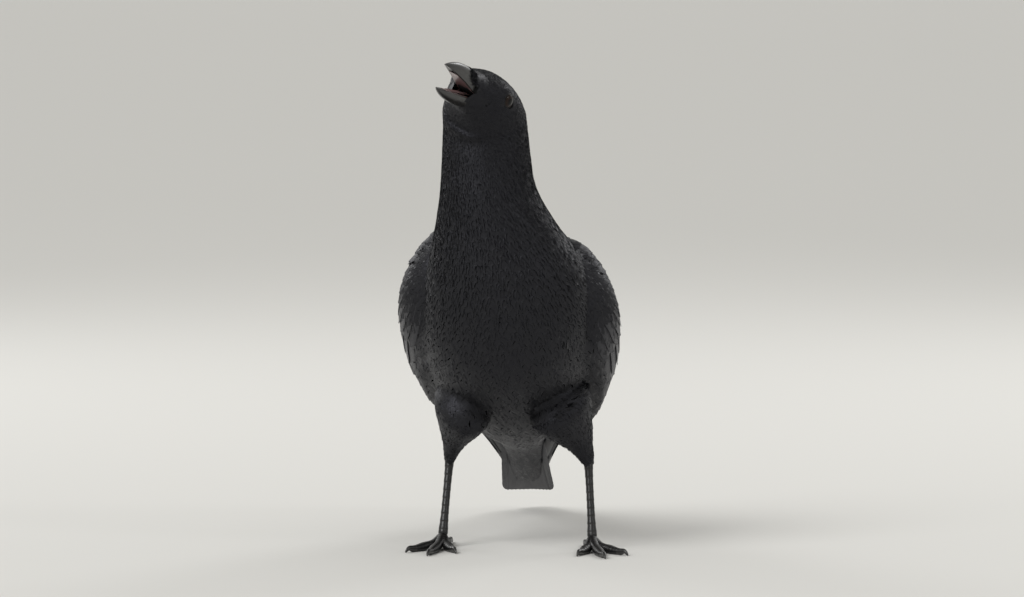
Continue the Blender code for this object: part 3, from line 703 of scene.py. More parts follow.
# Raises the coat round each eye to the lid: by what it lacks to the lid's height, which falls off with the
# distance from the rim, eased out over reach.
def roundEyes(points):
    own = headOwn(points)
    fromRim = np.hypot(own[..., 0] - rimPlace[0], own[..., 2] - rimPlace[2]) - eye["bare"]
    lack = eye["rimHeight"] - eye["fall"] * fromRim - np.abs(own[..., 1])
    lift = np.clip(lack, 0.0, eye["mostLift"]) * (1 - smooth(fromRim / eye["reach"]))
    own[..., 1] += np.where(np.abs(own[..., 1]) > eye["atLeast"], np.sign(own[..., 1]) * lift, 0.0)
    return inHead(own)


def coatAt(ring, key):
    return np.interp(ring, coatShape["ring"], coatShape[key])


# The coat over the body from ring to ring, in the lie of the feathers: back from the bill and down the
# neck to the tail. Places in the mouth's gap and over the eyes stay bare.
def coatBody(name, fromRing, toRing, rows, columns):
    i, j = bodyPlaces
    onThighs = fromRing < 8  # the rings whose feathers can lie over the thighs
    ring = i / (bodyGrid["rows"] - 1) * (len(bodyRows) - 1)
    own = headOwn(readGrid(bodySheet["points"], i, j, True))
    gapFloor = -own[:, 0] * mouthGap["slope"] - mouthGap["bareBelow"]
    gape = (own[:, 0] > mouthGap["bareFrom"]) & (own[:, 2] < mouthGap["bareUnder"]) & (own[:, 2] > gapFloor)
    ahead, above = own[:, 0] - rimPlace[0], own[:, 2] - rimPlace[2]
    fromEye = np.where(np.abs(own[:, 1]) < eye["atLeast"], 99.0, np.hypot(ahead, above))
    rim = np.sqrt(np.maximum(eye["bare"] ** 2 - above**2, 0.0))
    room = np.where((ahead > 0) & (rim > 0) & (fromEye < eye["near"]), ahead - rim, 99.0)
    keep = (ring >= fromRing) & (ring < toRing) & ~gape & (fromEye > eye["bare"]) & (room > eye["shortest"])
    if onThighs:
        keep &= clearOfThighs(bodySheet, i, j)
    i, j, ring, room = i[keep], j[keep], ring[keep], room[keep]
    depth, long, gap = (np.interp(i, np.arange(len(bodyCoat)), column) for column in bodyCoat.T)
    look = dict(bodyLook, rows=rows, columns=columns)
    look.update({key: coatAt(ring, key) for key in ("point", "roundness", "fray", "lift", "shaft", "cup")})
    length = np.minimum(long * dice.uniform(0.88, 1.12, len(i)), room)
    width = gap * coatAt(ring, "columns") * 1.15 * dice.uniform(0.92, 1.08, len(i))
    turn = dice.normal(0, 0.1, len(i))
    growVanes(
        name, bodySheet, i, j, length, width, turn, -coatAt(ring, "sink") * depth, -0.08 * depth, look,
        contourVane, settle=overThighs if onThighs else roundEyes,
    )


bodyPlaces = layRows(bodySheet, bodyCoat[:, 2], coatAt(bodyT, "columns"))
coatBody("coat_back_and_belly", 0.0, 5.0, 6, 7)
coatBody("coat_breast_and_mantle", 5.0, 8.0, 6, 7)
coatBody("coat_neck_base", 8.0, 10.0, 6, 5)
coatBody("coat_neck", 10.0, 12.3, 6, 5)
coatBody("coat_head", 12.3, 15.0, 5, 5)
coatBody("coat_face", 15.0, 18.1, 5, 5)
print("coat ready")


wing = {
    "lower": (
        (56, 44, 188), (32, 58, 150), (-14, 60, 113), (-70, 50, 86),
        (-128, 31, 66), (-174, 20, 46), (-214, 14, 29),
    ),
    "upper": (
        (42, 38, 224), (10, 44, 220), (-38, 31, 187), (-84, 18, 150),
        (-130, 10, 112), (-172, 7, 75), (-208, 6, 42),
    ),
    "bulge": (8, 24, 27, 20, 11, 6, 2.5), "roundness": 0.62, "lift": 4.5, "nose": 5.0,
    "rootThickness": 14.0, "tipThickness": 1.2, "sunk": 3.0, "coreEnd": 0.86, "coreEdge": 6,
    "rows": 260, "columns": 90,
    # the tips of the primaries, from the outermost at the lower edge to the innermost
    "tipAt": (0, 0.14, 0.28, 0.45, 1), "tipP": (0.955, 1.0, 0.995, 0.93, 0.735),
    "tipQ": (0.16, 0.38, 0.55, 0.66, 0.86),
    "lesserAt": (0, 0.05, 0.2, 1), "lesserGap": (3.2, 3.6, 5.0, 5.2), "lesserEnd": 0.175,
}


# The points of a line moved along it until they lie evenly spaced.
def evenly(line, count):
    run = np.append(0, np.cumsum(np.linalg.norm(np.diff(line, axis=0), axis=-1)))
    return np.stack([np.interp(np.linspace(0, run[-1], count), run, column) for column in line.T], axis=-1)


# The folded wing's outer form, from the bend at p = 0 to the tip at p = 1 and from its lower edge at
# q = 0 to its upper edge at q = 1: a straight mix of the edges plus bulge * sin(pi q) ^ roundness. The left
# wing hangs lower and the right one higher by lift * sqrt(1 - p), and the front is rounded in by nose.
def wingForm(side):
    sign = sides[side]
    p = np.linspace(0, 1, wing["rows"])[:, None]
    q = np.linspace(0.0, 1.0, 401)[None, :]
    t = p[:, 0] * (len(wing["bulge"]) - 1)
    low, high = curveThrough(wing["lower"], t)[:, None], curveThrough(wing["upper"], t)[:, None]
    points = low * (1 - q[..., None]) + high * q[..., None]
    bulge = curveThrough(np.array(wing["bulge"], float)[:, None], t)
    points[..., 1] = sign * (points[..., 1] + bulge * np.sin(math.pi * q) ** wing["roundness"])
    points[..., 2] -= sign * wing["lift"] * (1 - p) ** 0.5
    points = np.stack([evenly(line, wing["columns"]) for line in points])
    sheet = makeSheet(points, False, bodyInside)
    nose = wing["nose"] * (1 - smooth(0.35 + p / 0.08))
    chord = unit(sheet["normals"].mean(axis=1, keepdims=True))
    return makeSheet(points - chord * nose[..., None], False, bodyInside)


wingSheets = {side: wingForm(side) for side in sides}


# The places on a wing at p along it and at one share of its width, raised by height.
def alongWing(side, p, share, height):
    return overSheet(
        wingSheets[side], p * (wing["rows"] - 1), np.full(len(p), share * (wing["columns"] - 1)), height
    )


# One smooth curve through each row of places, with evenly spaced points on it.
def rowCurves(rows, steps, count):
    fine = np.linspace(0, rows.shape[1] - 1, steps)
    return np.stack([evenly(curveThrough(row, fine), count) for row in rows])


# The way down a slope to the back, and the way square out of it.
def slopeWays(degrees):
    slope = math.radians(degrees)
    return np.array((-math.cos(slope), 0.0, -math.sin(slope))), np.array(
        (-math.sin(slope), 0.0, math.cos(slope))
    )


# Flight feathers on a sheet, one row of numbers each: root p and q, tip p and q, half width of the lower
# and the upper vane, height at root and tip, tilt of the vane across, bow of the shaft. All lengths in mm.
# The vane is (grid place of the shaft) + across, its height root to tip minus tilt * u.
quillU = np.array((-1, -0.72, -0.4, -0.07, 0, 0.07, 0.4, 0.72, 1.0))


def layQuills(name, sheet, quills, look, material):
    quills = np.array(quills, float)
    count, nv, nu = len(quills), look["rows"], len(quillU)
    p0, q0, p1, q1, lower, upper, rootHeight, tipHeight, tilt, bow = (
        column[:, None, None] for column in quills.T
    )
    rows, columns = sheet["points"].shape[:2]
    u = quillU[None, None, :]
    v = (1 - (1 - np.linspace(0, 1, nv)) ** 1.3)[None, :, None]
    past = np.clip((v - look["shoulder"]) / (1 - look["shoulder"]), 0, 1)
    end = np.sqrt(np.maximum(1 - past ** look["tip"], 0.0))
    outline = (look["root"] + (1 - look["root"]) * smooth(v / 0.3)) * end
    outline = outline * (1 + look["wear"] * dice.uniform(-1, 1, (count, nv, nu)) * (np.abs(u) > 0.9))
    across = np.where(u < 0, lower, upper) * outline * u
    gi = (p0 + (p1 - p0) * v) * (rows - 1)
    gj = (q0 + (q1 - q0) * v + bow * np.sin(math.pi * v)) * (columns - 1)
    shaftI, shaftJ = np.broadcast_arrays(gi, gj)
    step = readGrid(sheet["acrossStep"], shaftI, shaftJ, False)
    reach = readGrid(sheet["alongStep"], shaftI, shaftJ, False)
    middle = readGrid(sheet["points"], shaftI, shaftJ, False)
    steps = np.linalg.norm(np.diff(middle[:, :, 0], axis=1), axis=-1)
    along = np.concatenate((np.zeros((count, 1)), np.cumsum(steps, axis=1)), axis=1)
    gi = gi - look["sweep"] * np.abs(across) * (1 - v) / reach
    gj = gj + across / step
    height = rootHeight + (tipHeight - rootHeight) * v - tilt * u * (1 - 0.5 * v)
    height = height + look["shaft"] * (u == 0) * (1 - 0.8 * v)
    height = height - look["shaft"] * 0.5 * (np.abs(np.abs(u) - 0.07) < 0.01)  # a groove on each side of it
    gi, gj, height, across = np.broadcast_arrays(gi, gj, height, across)
    points = overSheet(sheet, gi, gj, height[..., None])
    along = np.broadcast_to(along[:, :, None], across.shape)
    strip = stacked((np.arange(count)[:, None, None] + 0.5 + 0.42 * u) / count, 0.01 + 0.98 * v)
    # rim: lighter edges and tip of each quill, a painted sheen that picks out its outline, partly wear
    rim = 0.8 * np.abs(u) ** 4 + 0.4 * v**8
    return vaneMesh(name, points, stacked(across, along), rim, strip, material)


# How far down the wing the secondaries and the coverts end at q: straight lines that slope to the upper edge.
def secondaryEdge(q):
    return 0.47 + 0.19 * q


def covertEdge(q):
    return 0.30 + 0.06 * q


# A wing is a solid core under its feathers, nine primaries, twelve secondaries over them, and three sets of
# coverts, each over the roots of the set before.
def makeWing(side):
    sheet = wingSheets[side]
    rows, columns = sheet["points"].shape[:2]
    p = np.linspace(0, 1, rows)[:, None, None]
    q = np.linspace(0, 1, columns)[None, :, None]
    edge = np.sin(math.pi * (0.06 + 0.88 * q)) ** 0.5
    thick = wing["tipThickness"] + (wing["rootThickness"] - wing["tipThickness"]) * (1 - p) ** 1.5 * edge
    sunk = wing["sunk"] * (0.75 + 0.25 * (1 - p))
    part = (slice(0, int(rows * wing["coreEnd"]), 3), slice(wing["coreEdge"], -wing["coreEdge"]))
    outer, inner = ((sheet["points"] - sheet["normals"] * depth)[part] for depth in (sunk, sunk + thick))
    core = closedGrid("wing_core_" + side, np.concatenate((outer, inner[:, ::-1]), axis=1), contourVane)
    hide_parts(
        "wing_" + side + "_coverts", "wing_" + side + "_secondaries", "wing_" + side + "_primaries"
    )

    look = {"rows": 26, "shoulder": 0.8, "root": 0.45, "tip": 2.4, "wear": 0.03, "shaft": 0.3, "sweep": 0.25}
    k = np.linspace(0, 1, 9)
    tipP, tipQ = (np.interp(k, wing["tipAt"], wing[key]) for key in ("tipP", "tipQ"))
    width = np.interp(tipP, (0.7, 1), (8.5, 6.0))
    layQuills(
        "primaries_" + side, sheet, stacked(
            0.40 + 0.02 * k, 0.12 + 0.62 * k, tipP, tipQ, width * 0.62, width * 1.1,
            -2.2 + 1.0 * k, -1.1 + 0.9 * k, 0.35, 0.02,
        ), dict(look, shoulder=0.72, tip=1.7), flightVane,
    )
    k = np.linspace(0, 1, 12)
    tipQ = 0.04 + 0.88 * k
    width = np.interp(k, (0, 0.7, 1), (9.0, 10.0, 13.0))
    layQuills(
        "secondaries_" + side, sheet, stacked(
            0.24 + 0.01 * k, 0.13 + 0.7 * k, secondaryEdge(tipQ) + 0.004, tipQ, width * 0.8, width,
            -1.9 + 0.9 * k, -0.7 + 0.6 * k, 0.55, -0.015,
        ), look, flightVane,
    )
    k = np.linspace(0, 1, 13)
    tipQ = 0.03 + 0.93 * k
    layQuills(
        "greater_coverts_" + side, sheet, stacked(
            0.15, 0.08 + 0.84 * k, covertEdge(tipQ) + 0.012 * np.sin(9 * k), tipQ, 6.4, 8.0,
            -1.2, 0.25, 0.75, 0.01,
        ), dict(look, rows=14, shoulder=0.7, tip=2.0, shaft=0.22), flightVane,
    )
    k = np.linspace(0, 1, 14)
    layQuills(
        "median_coverts_" + side, sheet, stacked(
            0.10, 0.07 + 0.86 * k, 0.225 + 0.05 * k, 0.04 + 0.92 * k, 6.2, 7.0, -0.8, 0.7, 0.7, 0.0,
        ), dict(look, rows=12, shoulder=0.62, tip=2.0, shaft=0.18), flightVane,
    )
    gap = np.interp(np.linspace(0, 1, rows), wing["lesserAt"], wing["lesserGap"])
    i, j = layRows(sheet, gap, 1.05, fromEnd=False)
    keep = i < rows * wing["lesserEnd"]
    i, j = i[keep], j[keep]
    gap = np.interp(i / rows, wing["lesserAt"], wing["lesserGap"])
    growVanes(
        "lesser_coverts_" + side, sheet, i, j, gap * 3.6 * dice.uniform(0.9, 1.1, len(i)), gap * 0.98,
        dice.normal(0, 0.07, len(i)), -1.6, 0.75,
        dict(bodyLook, fray=0.06, lift=0.2, point=0.95), contourVane, way=1.0,
    )


for side in sides:
    makeWing(side)
print("wings ready")


# The mantle's sheet, its small feathers by p along the wing, and the long feathers that lie on it.
mantle = {
    "slope": 38.0, "from": 0.015, "to": 0.88, "rows": 240, "columns": 121,
    "wingShares": (0.62, 0.8, 0.95), "wingHeights": (1.3, 1.8, 2.4), "crown": 1.6, "middle": 1.2, "sag": 1.0,
    "under": 3.0, "risen": 0.12,  # how far its front edge lies under the neck's coat, and where it is up
    "edge": (0.0, 4.0, 16.0, 30.0), "edgeAt": (0.0, 0.2, 0.42, 0.56), "end": 0.43,
    "at": (0, 0.2, 0.45), "gap": (4.0, 5.6, 7.2), "length": (15, 23, 31), "width": (4.4, 6.2, 8.2),
    "tertialRoots": (24.0, 18.0, 12.0, 5.0), "tertialTips": (19.0, 13.5, 8.5, 3.5),
    "tertialEnds": (0.665, 0.64, 0.6, 0.55),
    "covertTips": (3.0, 8.5, 14.0, 19.0), "covertEnds": (0.82, 0.8, 0.75, 0.69),
}


# The mantle is one sheet over the back, from wing to wing. Each row crosses at one distance down the slope
# of the back, by the smooth curve through places on the left wing, on the back's ridge and on the right.
# Where the back sinks between the wings it spans the gap.
def mantleForm():
    down, out = slopeWays(mantle["slope"])
    p = np.linspace(mantle["from"], mantle["to"], mantle["rows"])
    rise = smooth(p / mantle["risen"])[:, None]
    low = 1 - 0.7 * smooth((p - 0.5) / 0.3)[:, None]  # it settles towards the wing tips
    keys = {}
    for side in sides:
        keys[side] = [
            alongWing(side, p, share, height * rise * low - mantle["under"] * (1 - rise))
            for share, height in zip(mantle["wingShares"], mantle["wingHeights"])
        ]
    ridge = bodySheet["points"][bodyGrid["rows"] // 2:0:-1, bodyGrid["columns"] // 4]
    edges = (keys["left"][-1] + keys["right"][-1]) / 2
    top = np.stack([np.interp(edges @ down, ridge @ down, ridge[:, k]) for k in range(3)], axis=-1)
    top = top + out * (mantle["middle"] * rise - mantle["under"] * (1 - rise))
    top = top + out * np.maximum((edges - top) @ out - mantle["sag"], 0.0)[:, None]
    between = [(keys[side][-1] + top) / 2 + out * mantle["crown"] * rise for side in ("left", "right")]
    lines = np.stack(keys["left"] + [between[0], top, between[1]] + keys["right"][::-1], axis=1)
    points = rowCurves(lines, 161, mantle["columns"])
    return makeSheet(points, False, points.mean(axis=(0, 1)) - out * 60)


# Long feathers on the mantle, on both sides of its middle line: roots and tips at those distances from the
# line, root row and tip rows by p along the wing.
def layBeside(name, sheet, rootP, tipP, rootAway, tipAway, half, heights, look):
    across = sheet["acrossStep"].sum(axis=1)
    rows = len(across) - 1
    span = mantle["to"] - mantle["from"]
    quills = []
    for k, (end, away, tip) in enumerate(zip(tipP, rootAway, tipAway)):
        start, stop = (rootP - mantle["from"]) / span, (end - mantle["from"]) / span
        for sign in (-1, 1):
            root = 0.5 + sign * away / across[round(start * rows)]
            last = 0.5 + sign * tip / across[round(stop * rows)]
            height = heights[0] + heights[1] * k + 0.15 * sign
            quills.append((start, root, stop, last, half, half, height - 1.2, height, -0.35 * sign, 0.0))
    return layQuills(name, sheet, quills, look, flightVane)


def makeMantle():
    sheet = mantleForm()
    rows, columns = sheet["points"].shape[:2]
    along = np.linspace(mantle["from"], mantle["to"], rows)
    gap = np.interp(along, mantle["at"], mantle["gap"])
    i, j = layRows(sheet, gap, 0.95, fromEnd=False, jitter=0.3)
    p = np.interp(i, np.arange(rows), along)
    fromEdge = np.minimum(j, columns - 1 - j) * readGrid(sheet["acrossStep"], i, j, False)
    keep = (fromEdge > np.interp(p, mantle["edgeAt"], mantle["edge"])) & (p < mantle["end"])
    i, j, p = i[keep], j[keep], p[keep]
    length, width = (np.interp(p, mantle["at"], mantle[key]) for key in ("length", "width"))
    growVanes(
        "mantle_and_scapulars", sheet, i, j, length, width, dice.normal(0, 0.1, len(i)), -1.3, 0.6,
        dict(bodyLook, fray=0.06, lift=0.25, point=1.05, roundness=0.3, rows=7), contourVane, way=1.0,
    )
    look = {"rows": 24, "shoulder": 0.74, "root": 0.5, "tip": 1.9, "wear": 0.03, "shaft": 0.3, "sweep": 0.3}
    layBeside(
        "tertials", sheet, 0.33, mantle["tertialEnds"], mantle["tertialRoots"], mantle["tertialTips"], 9.0,
        (-1.6, 0.5), look,
    )
    layBeside(
        "upper_tail_coverts", sheet, 0.46, mantle["covertEnds"], mantle["covertTips"], mantle["covertTips"],
        7.0, (-1.8, -0.4), dict(look, rows=18),
    )


makeMantle()
print("mantle ready")


# The flank's sheet, and its feathers by p along the wing. Near the body, over the first columns given by
# bodySide, they are sunk.
flank = {
    "from": 0.05, "to": 0.62, "end": 0.41, "rows": 120, "columns": 41,
    "below": 15.0, "wingShares": (0.03, 0.13),
    "wingHeights": (1.6, -0.4), "over": 0.6, "under": 3.0, "risen": 0.16,
    "at": (0, 0.2, 0.5), "gap": (4.4, 5.4, 6.2), "length": (16, 22, 26), "width": (4.6, 5.6, 6.6),
    "bodySide": (1, 8), "rootHeights": (-2.6, -1.4), "tipHeights": (-1.0, 0.3),
}


# The flank's feathers close the gap between the body and the folded wing's lower edge. Each row runs from
# the body's nearest place, some columns lower, to the wing's outer side.
def flankForm(side):
    sign = sides[side]
    p = np.linspace(flank["from"], flank["to"], flank["rows"])
    rise = smooth((p - flank["from"]) / flank["risen"])[:, None]
    onWing = [
        alongWing(side, p, share, height * rise - flank["under"] * (1 - rise))
        for share, height in zip(flank["wingShares"], flank["wingHeights"])
    ]
    body = bodySheet["points"]
    half = bodyGrid["columns"] // 2
    nearest = [np.argmin(np.sum((body - place) ** 2, axis=-1)) for place in onWing[0]]
    row, column = (places.astype(float) for places in np.unravel_index(nearest, body.shape[:2]))
    column = np.where((column > half) & (sign > 0), column - 2 * half, column)
    row, column = (np.polyval(np.polyfit(p, line, 4), p) for line in (row, column))
    lower = readGrid(body, row, column - sign * flank["below"], True)
    height = flank["over"] * rise - flank["under"] * (1 - rise)
    upper = overSheet(bodySheet, row, column - sign * flank["below"] * 0.4, height)
    lines = np.stack([lower, upper] + onWing, axis=1)
    return makeSheet(rowCurves(lines, 81, flank["columns"]), False, bodyInside)


def makeFlank(side):
    sheet = flankForm(side)
    rows = len(sheet["points"])
    along = np.linspace(flank["from"], flank["to"], rows)
    gap = np.interp(along, flank["at"], flank["gap"])
    i, j = layRows(sheet, gap, 0.9, fromEnd=False, jitter=0.3)
    p = np.interp(i, np.arange(rows), along)
    keep = (p < flank["end"]) & (j > 1) & clearOfThighs(sheet, i, j)
    i, j, p = i[keep], j[keep], p[keep]
    length, width = (np.interp(p, flank["at"], flank[key]) for key in ("length", "width"))
    root, tip = (np.interp(j, flank["bodySide"], flank[key]) for key in ("rootHeights", "tipHeights"))
    growVanes(
        "flank_feathers_" + side, sheet, i, j, length * dice.uniform(0.9, 1.1, len(i)), width,
        dice.normal(0, 0.1, len(i)), root, tip,
        dict(bodyLook, fray=0.14, lift=0.3, roundness=0.26), contourVane, way=1.0, settle=overThighs,
    )


for side in sides:
    makeFlank(side)
print("flanks ready")


tail = {
    "base": (-92.0, 94.0), "length": 174.0, "slope": 28.4, "baseHalf": 13.0, "endHalf": 19.5,
    "arch": 5.5, "rounding": 14.0, "rows": 120, "columns": 61, "innerVane": 8.5, "outerVane": 6.0,
}


# The closed tail at a from base to tip and v from its right edge to its left: a half width that grows
# with a, an end that falls back by rounding * v^2 and an arch of arch * v^2.
def tailForm():
    way, up = slopeWays(tail["slope"])
    a = np.linspace(0, 1, tail["rows"])[:, None]
    v = np.linspace(-1, 1, tail["columns"])[None, :]
    length = (tail["length"] - tail["rounding"] * v**2) * a
    half = v * (tail["baseHalf"] + (tail["endHalf"] - tail["baseHalf"]) * a**0.8)
    base = np.array((tail["base"][0], 0.0, tail["base"][1]))
    points = base + way * length[..., None] + np.array((0.0, 1.0, 0.0)) * half[..., None]
    return points - up * (tail["arch"] * v**2 * (0.35 + 0.65 * a))[..., None], up


# Twelve tail feathers, each pair over the one outside it, and seven long coverts over their roots.
def makeTail():
    points, up = tailForm()
    sheet = makeSheet(points, False, points.mean(axis=(0, 1)) - up * 60)
    inner, outer = tail["innerVane"], tail["outerVane"]
    quills = []
    for k in range(5, -1, -1):
        for sign in (1, -1):
            root, edge = 0.5 + sign * (0.03 + 0.05 * k), 0.5 + sign * (0.04 + 0.072 * k)
            lower, upper = (inner, outer) if sign > 0 else (outer, inner)
            height = 3.6 - 0.52 * k - (0.12 if sign < 0 else 0.0)
            quills.append((0.12, root, 1.0 - 0.006 * k, edge, lower, upper, height - 0.2, height, 0.0, 0.0))
    for k in (-3, 3, -2, 2, -1, 1, 0):
        away = abs(k)
        root, tip = 7.4 - 0.6 * away, 4.3 - 0.7 * away
        end = 0.66 - 0.07 * away
        quills.append((0.02, 0.5 + 0.07 * k, end, 0.5 + 0.1 * k, 7.5, 7.5, root, tip, 0.0, 0.0))
    look = {"rows": 34, "shoulder": 0.9, "root": 0.4, "tip": 2.6, "wear": 0.02, "shaft": 0.35, "sweep": 0.1}
    made = layQuills("tail_feathers", sheet, quills, look, flightVane)
    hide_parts("tail")


makeTail()
print("tail ready")


# The thigh's own feathers run down it and end a little past the ankle.
def makeTrousers(side):
    sheet = makeSheet(thighForm(side, 0.0, rows=120, count=96), True)
    rows = len(sheet["points"])
    spacing = np.interp(np.linspace(0, 1, rows), thigh["spacingAt"], thigh["spacing"])
    i, j = layRows(sheet, spacing, 0.78, fromEnd=False)
    gap = np.interp(i / rows, thigh["spacingAt"], thigh["spacing"])
    room = readGrid(sheet["far"], np.full(len(i), rows - 1.0), j, True) - readGrid(sheet["far"], i, j, True)
    length = np.minimum(gap * 3.6 * dice.uniform(0.85, 1.15, len(i)), room + 2.5)
    height = np.interp(i / rows, (0, 0.85, 1), (0.3, 0.2, -1.5))
    growVanes(
        "coat_thigh_" + side, sheet, i, j, length, gap * 0.95, dice.normal(0, 0.1, len(i)),
        -np.minimum(1.6, gap * 0.4), height, dict(bodyLook, fray=0.22, lift=0.28, cup=0.05),
        contourVane, way=1.0,
    )


for side in sides:
    makeTrousers(side)
print("thigh feathers ready")


# Leg skin: black horny plates on the front of the shank and the tops of the toes, with fine grains
# between them, satin and a little dusty in the grooves.
def scuteSkin():
    made, tree, shader = newMaterial("leg_scutes_black", Specular_IOR_Level=0.45, IOR=1.5)
    place = addNode(tree, "TexCoord").outputs["Object"]
    cells = addNode(tree, "TexVoronoi", {"feature": "DISTANCE_TO_EDGE"}, {"Scale": 900.0}, {"Vector": place})
    dust = addNode(tree, "TexNoise", values={"Scale": 260.0, "Detail": 4.0}, links={"Vector": place})
    groove = addNode(tree, "Attribute", {"attribute_name": "groove"})
    grime = addNode(
        tree, "Math", {"operation": "MULTIPLY_ADD"}, {2: 0.0},
        {0: dust.outputs["Fac"], 1: groove.outputs["Fac"]}
    ).outputs[0]
    colour = addNode(tree, "Mix", {"data_type": "RGBA"}, between("#121213", "#34312e"), {0: grime})
    rough = addNode(tree, "MapRange", values={1: 0.0, 2: 1.0, 3: 0.34, 4: 0.62}, links={0: grime})
    height = cells.outputs["Distance"]
    bump = addNode(tree, "Bump", values={"Strength": 0.35, "Distance": 0.0003}, links={"Height": height})
    feed(tree, shader, {
        "Base Color": colour.outputs[2], "Roughness": rough.outputs[0], "Normal": bump.outputs[0],
    })
    return made


# Horn of the bill and claws: dense black keratin, polished by use, with fine growth streaks along it.
def hornBlack(name, rough, streak):
    made, tree, shader = newMaterial(
        name, Specular_IOR_Level=0.5, IOR=1.54, Coat_Weight=0.15, Coat_Roughness=0.22
    )
    grain = addNode(tree, "UVMap", {"uv_map": "Grain"}).outputs[0]
    stretch = addNode(tree, "Mapping", values={"Scale": (0.25, 6.0, 1.0)}, links={0: grain}).outputs[0]
    lines = addNode(
        tree, "TexNoise", values={"Scale": streak, "Detail": 5.0, "Roughness": 0.6}, links={0: stretch}
    ).outputs["Fac"]
    place = addNode(tree, "TexCoord").outputs["Object"]
    cloud = addNode(tree, "TexNoise", values={"Scale": 140.0, "Detail": 4.0}, links={0: place}).outputs["Fac"]
    mixed = addNode(tree, "Math", {"operation": "MULTIPLY"}, links={0: lines, 1: cloud}).outputs[0]
    colour = addNode(tree, "Mix", {"data_type": "RGBA"}, between("#0a0a0b", "#3a3836"), {0: mixed})
    roughness = addNode(
        tree, "MapRange", values={1: 0.1, 2: 0.5, 3: rough - 0.06, 4: rough + 0.16}, links={0: mixed}
    )
    bump = addNode(tree, "Bump", values={"Strength": 0.12, "Distance": 0.0003}, links={"Height": lines})
    feed(tree, shader, {
        "Base Color": colour.outputs[2], "Roughness": roughness.outputs[0], "Normal": bump.outputs[0],
    })
    return made


legBlack = scuteSkin()
billBlack = hornBlack("bill_horn_black", 0.3, 5.0)
clawBlack = hornBlack("claw_horn_black", 0.32, 7.0)


# The points of a tube, and after them the middles of its two ends.
def withEnds(points):
    return np.concatenate((points.reshape(-1, 3), points[:1].mean(axis=1), points[-1:].mean(axis=1)))


# The faces of a tube of rows x columns points, whose ends are fans round those middles.
def tubeFaces(rows, columns):
    k = np.arange(columns)
    n = (k + 1) % columns
    base = (rows - 1) * columns
    fans = np.concatenate((stacked(rows * columns, n, k), stacked(rows * columns + 1, base + k, base + n)))
    return gridFaces(rows, columns, closed=True).tolist() + fans.tolist()


# A closed tube with a map named Grain along it (in centimetres) and around, and a groove value per point.
def tubePiece(name, points, material, groove=None):
    rows, columns = points.shape[:2]
    mesh = bpy.data.meshes.new(name)
    mesh.from_pydata(toWorld(withEnds(points)).tolist(), [], tubeFaces(rows, columns))
    steps = np.linalg.norm(np.diff(points.mean(axis=1), axis=0), axis=-1)
    along = np.append(0, np.cumsum(steps)) / 10
    grain = stacked(along[:, None], np.arange(columns) / columns).reshape(-1, 2)
    setMap(mesh, "Grain", np.concatenate((grain, ((along[0], 0.5), (along[-1], 0.5)))))
    faceOut(mesh)
    if groove is not None:
        setValues(mesh, "groove", np.append(groove.ravel(), (0.0, 0.0)))
    return addPiece(name, mesh, material)


# One plate after another: a saw that climbs along s and drops back at each whole number, eased.
def plateSaw(s):
    part = s - np.floor(s)
    return part * (1 - smooth((part - 0.86) / 0.14))


# The groove between plates: 1 at each whole number and 0 from width on either side of it.
def plateGroove(s, width):
    part = s - np.floor(s)
    return 1 - smooth(np.minimum(part, 1 - part) / width)


# Rounds an end off as part goes from 0 to 1: sqrt(1 - share * part^2), and no less than sqrt(least).
def roundOff(part, least=0.0, share=1.0):
    return np.sqrt(np.clip(1 - np.clip(part, 0, 1) ** 2 * share, least, 1))


# The shank at x from ankle to foot: a straight tube that thickens to both ends by |2x - 1|^3, with plates
# down its front and a sharp ridge behind.
def makeShank(side):
    forward, left, _ = legs[side]
    start = anklePlace(side) + np.array((0.5, 0.0, 3.0))
    end = np.array((forward - 2.2, left, leg["foot"] + leg["topOfFoot"]))
    start = start + (start - end) * leg["hidden"]
    x = np.linspace(0, 1, 150)
    path = start + (end - start) * x[:, None]
    radii = leg["radius"] + (leg["ankleRadius"] - leg["radius"]) * np.abs(2 * x - 1) ** 3
    radii = radii * roundOff(1 - np.minimum(x, 1 - x) / leg["heel"], 0.02)
    points = tubePoints(path, radii, 1.0, 40)
    out = unit(points - path[:, None])
    front = smooth((out[..., 0] + 0.35) / 0.6)  # 1 on the front, 0 behind
    plates = plateSaw(x[:, None] * leg["scutes"]) * front
    ridge = smooth((-out[..., 0] - 0.75) / 0.25) * 0.5
    points = points + out * (leg["scuteStep"] * (plates - 0.5 * front) + ridge)[..., None]
    groove = plateGroove(x * leg["scutes"], 0.12)[:, None] * front
    made = tubePiece("shank_" + side, points, legBlack, groove)
    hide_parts("tarsus_" + side)


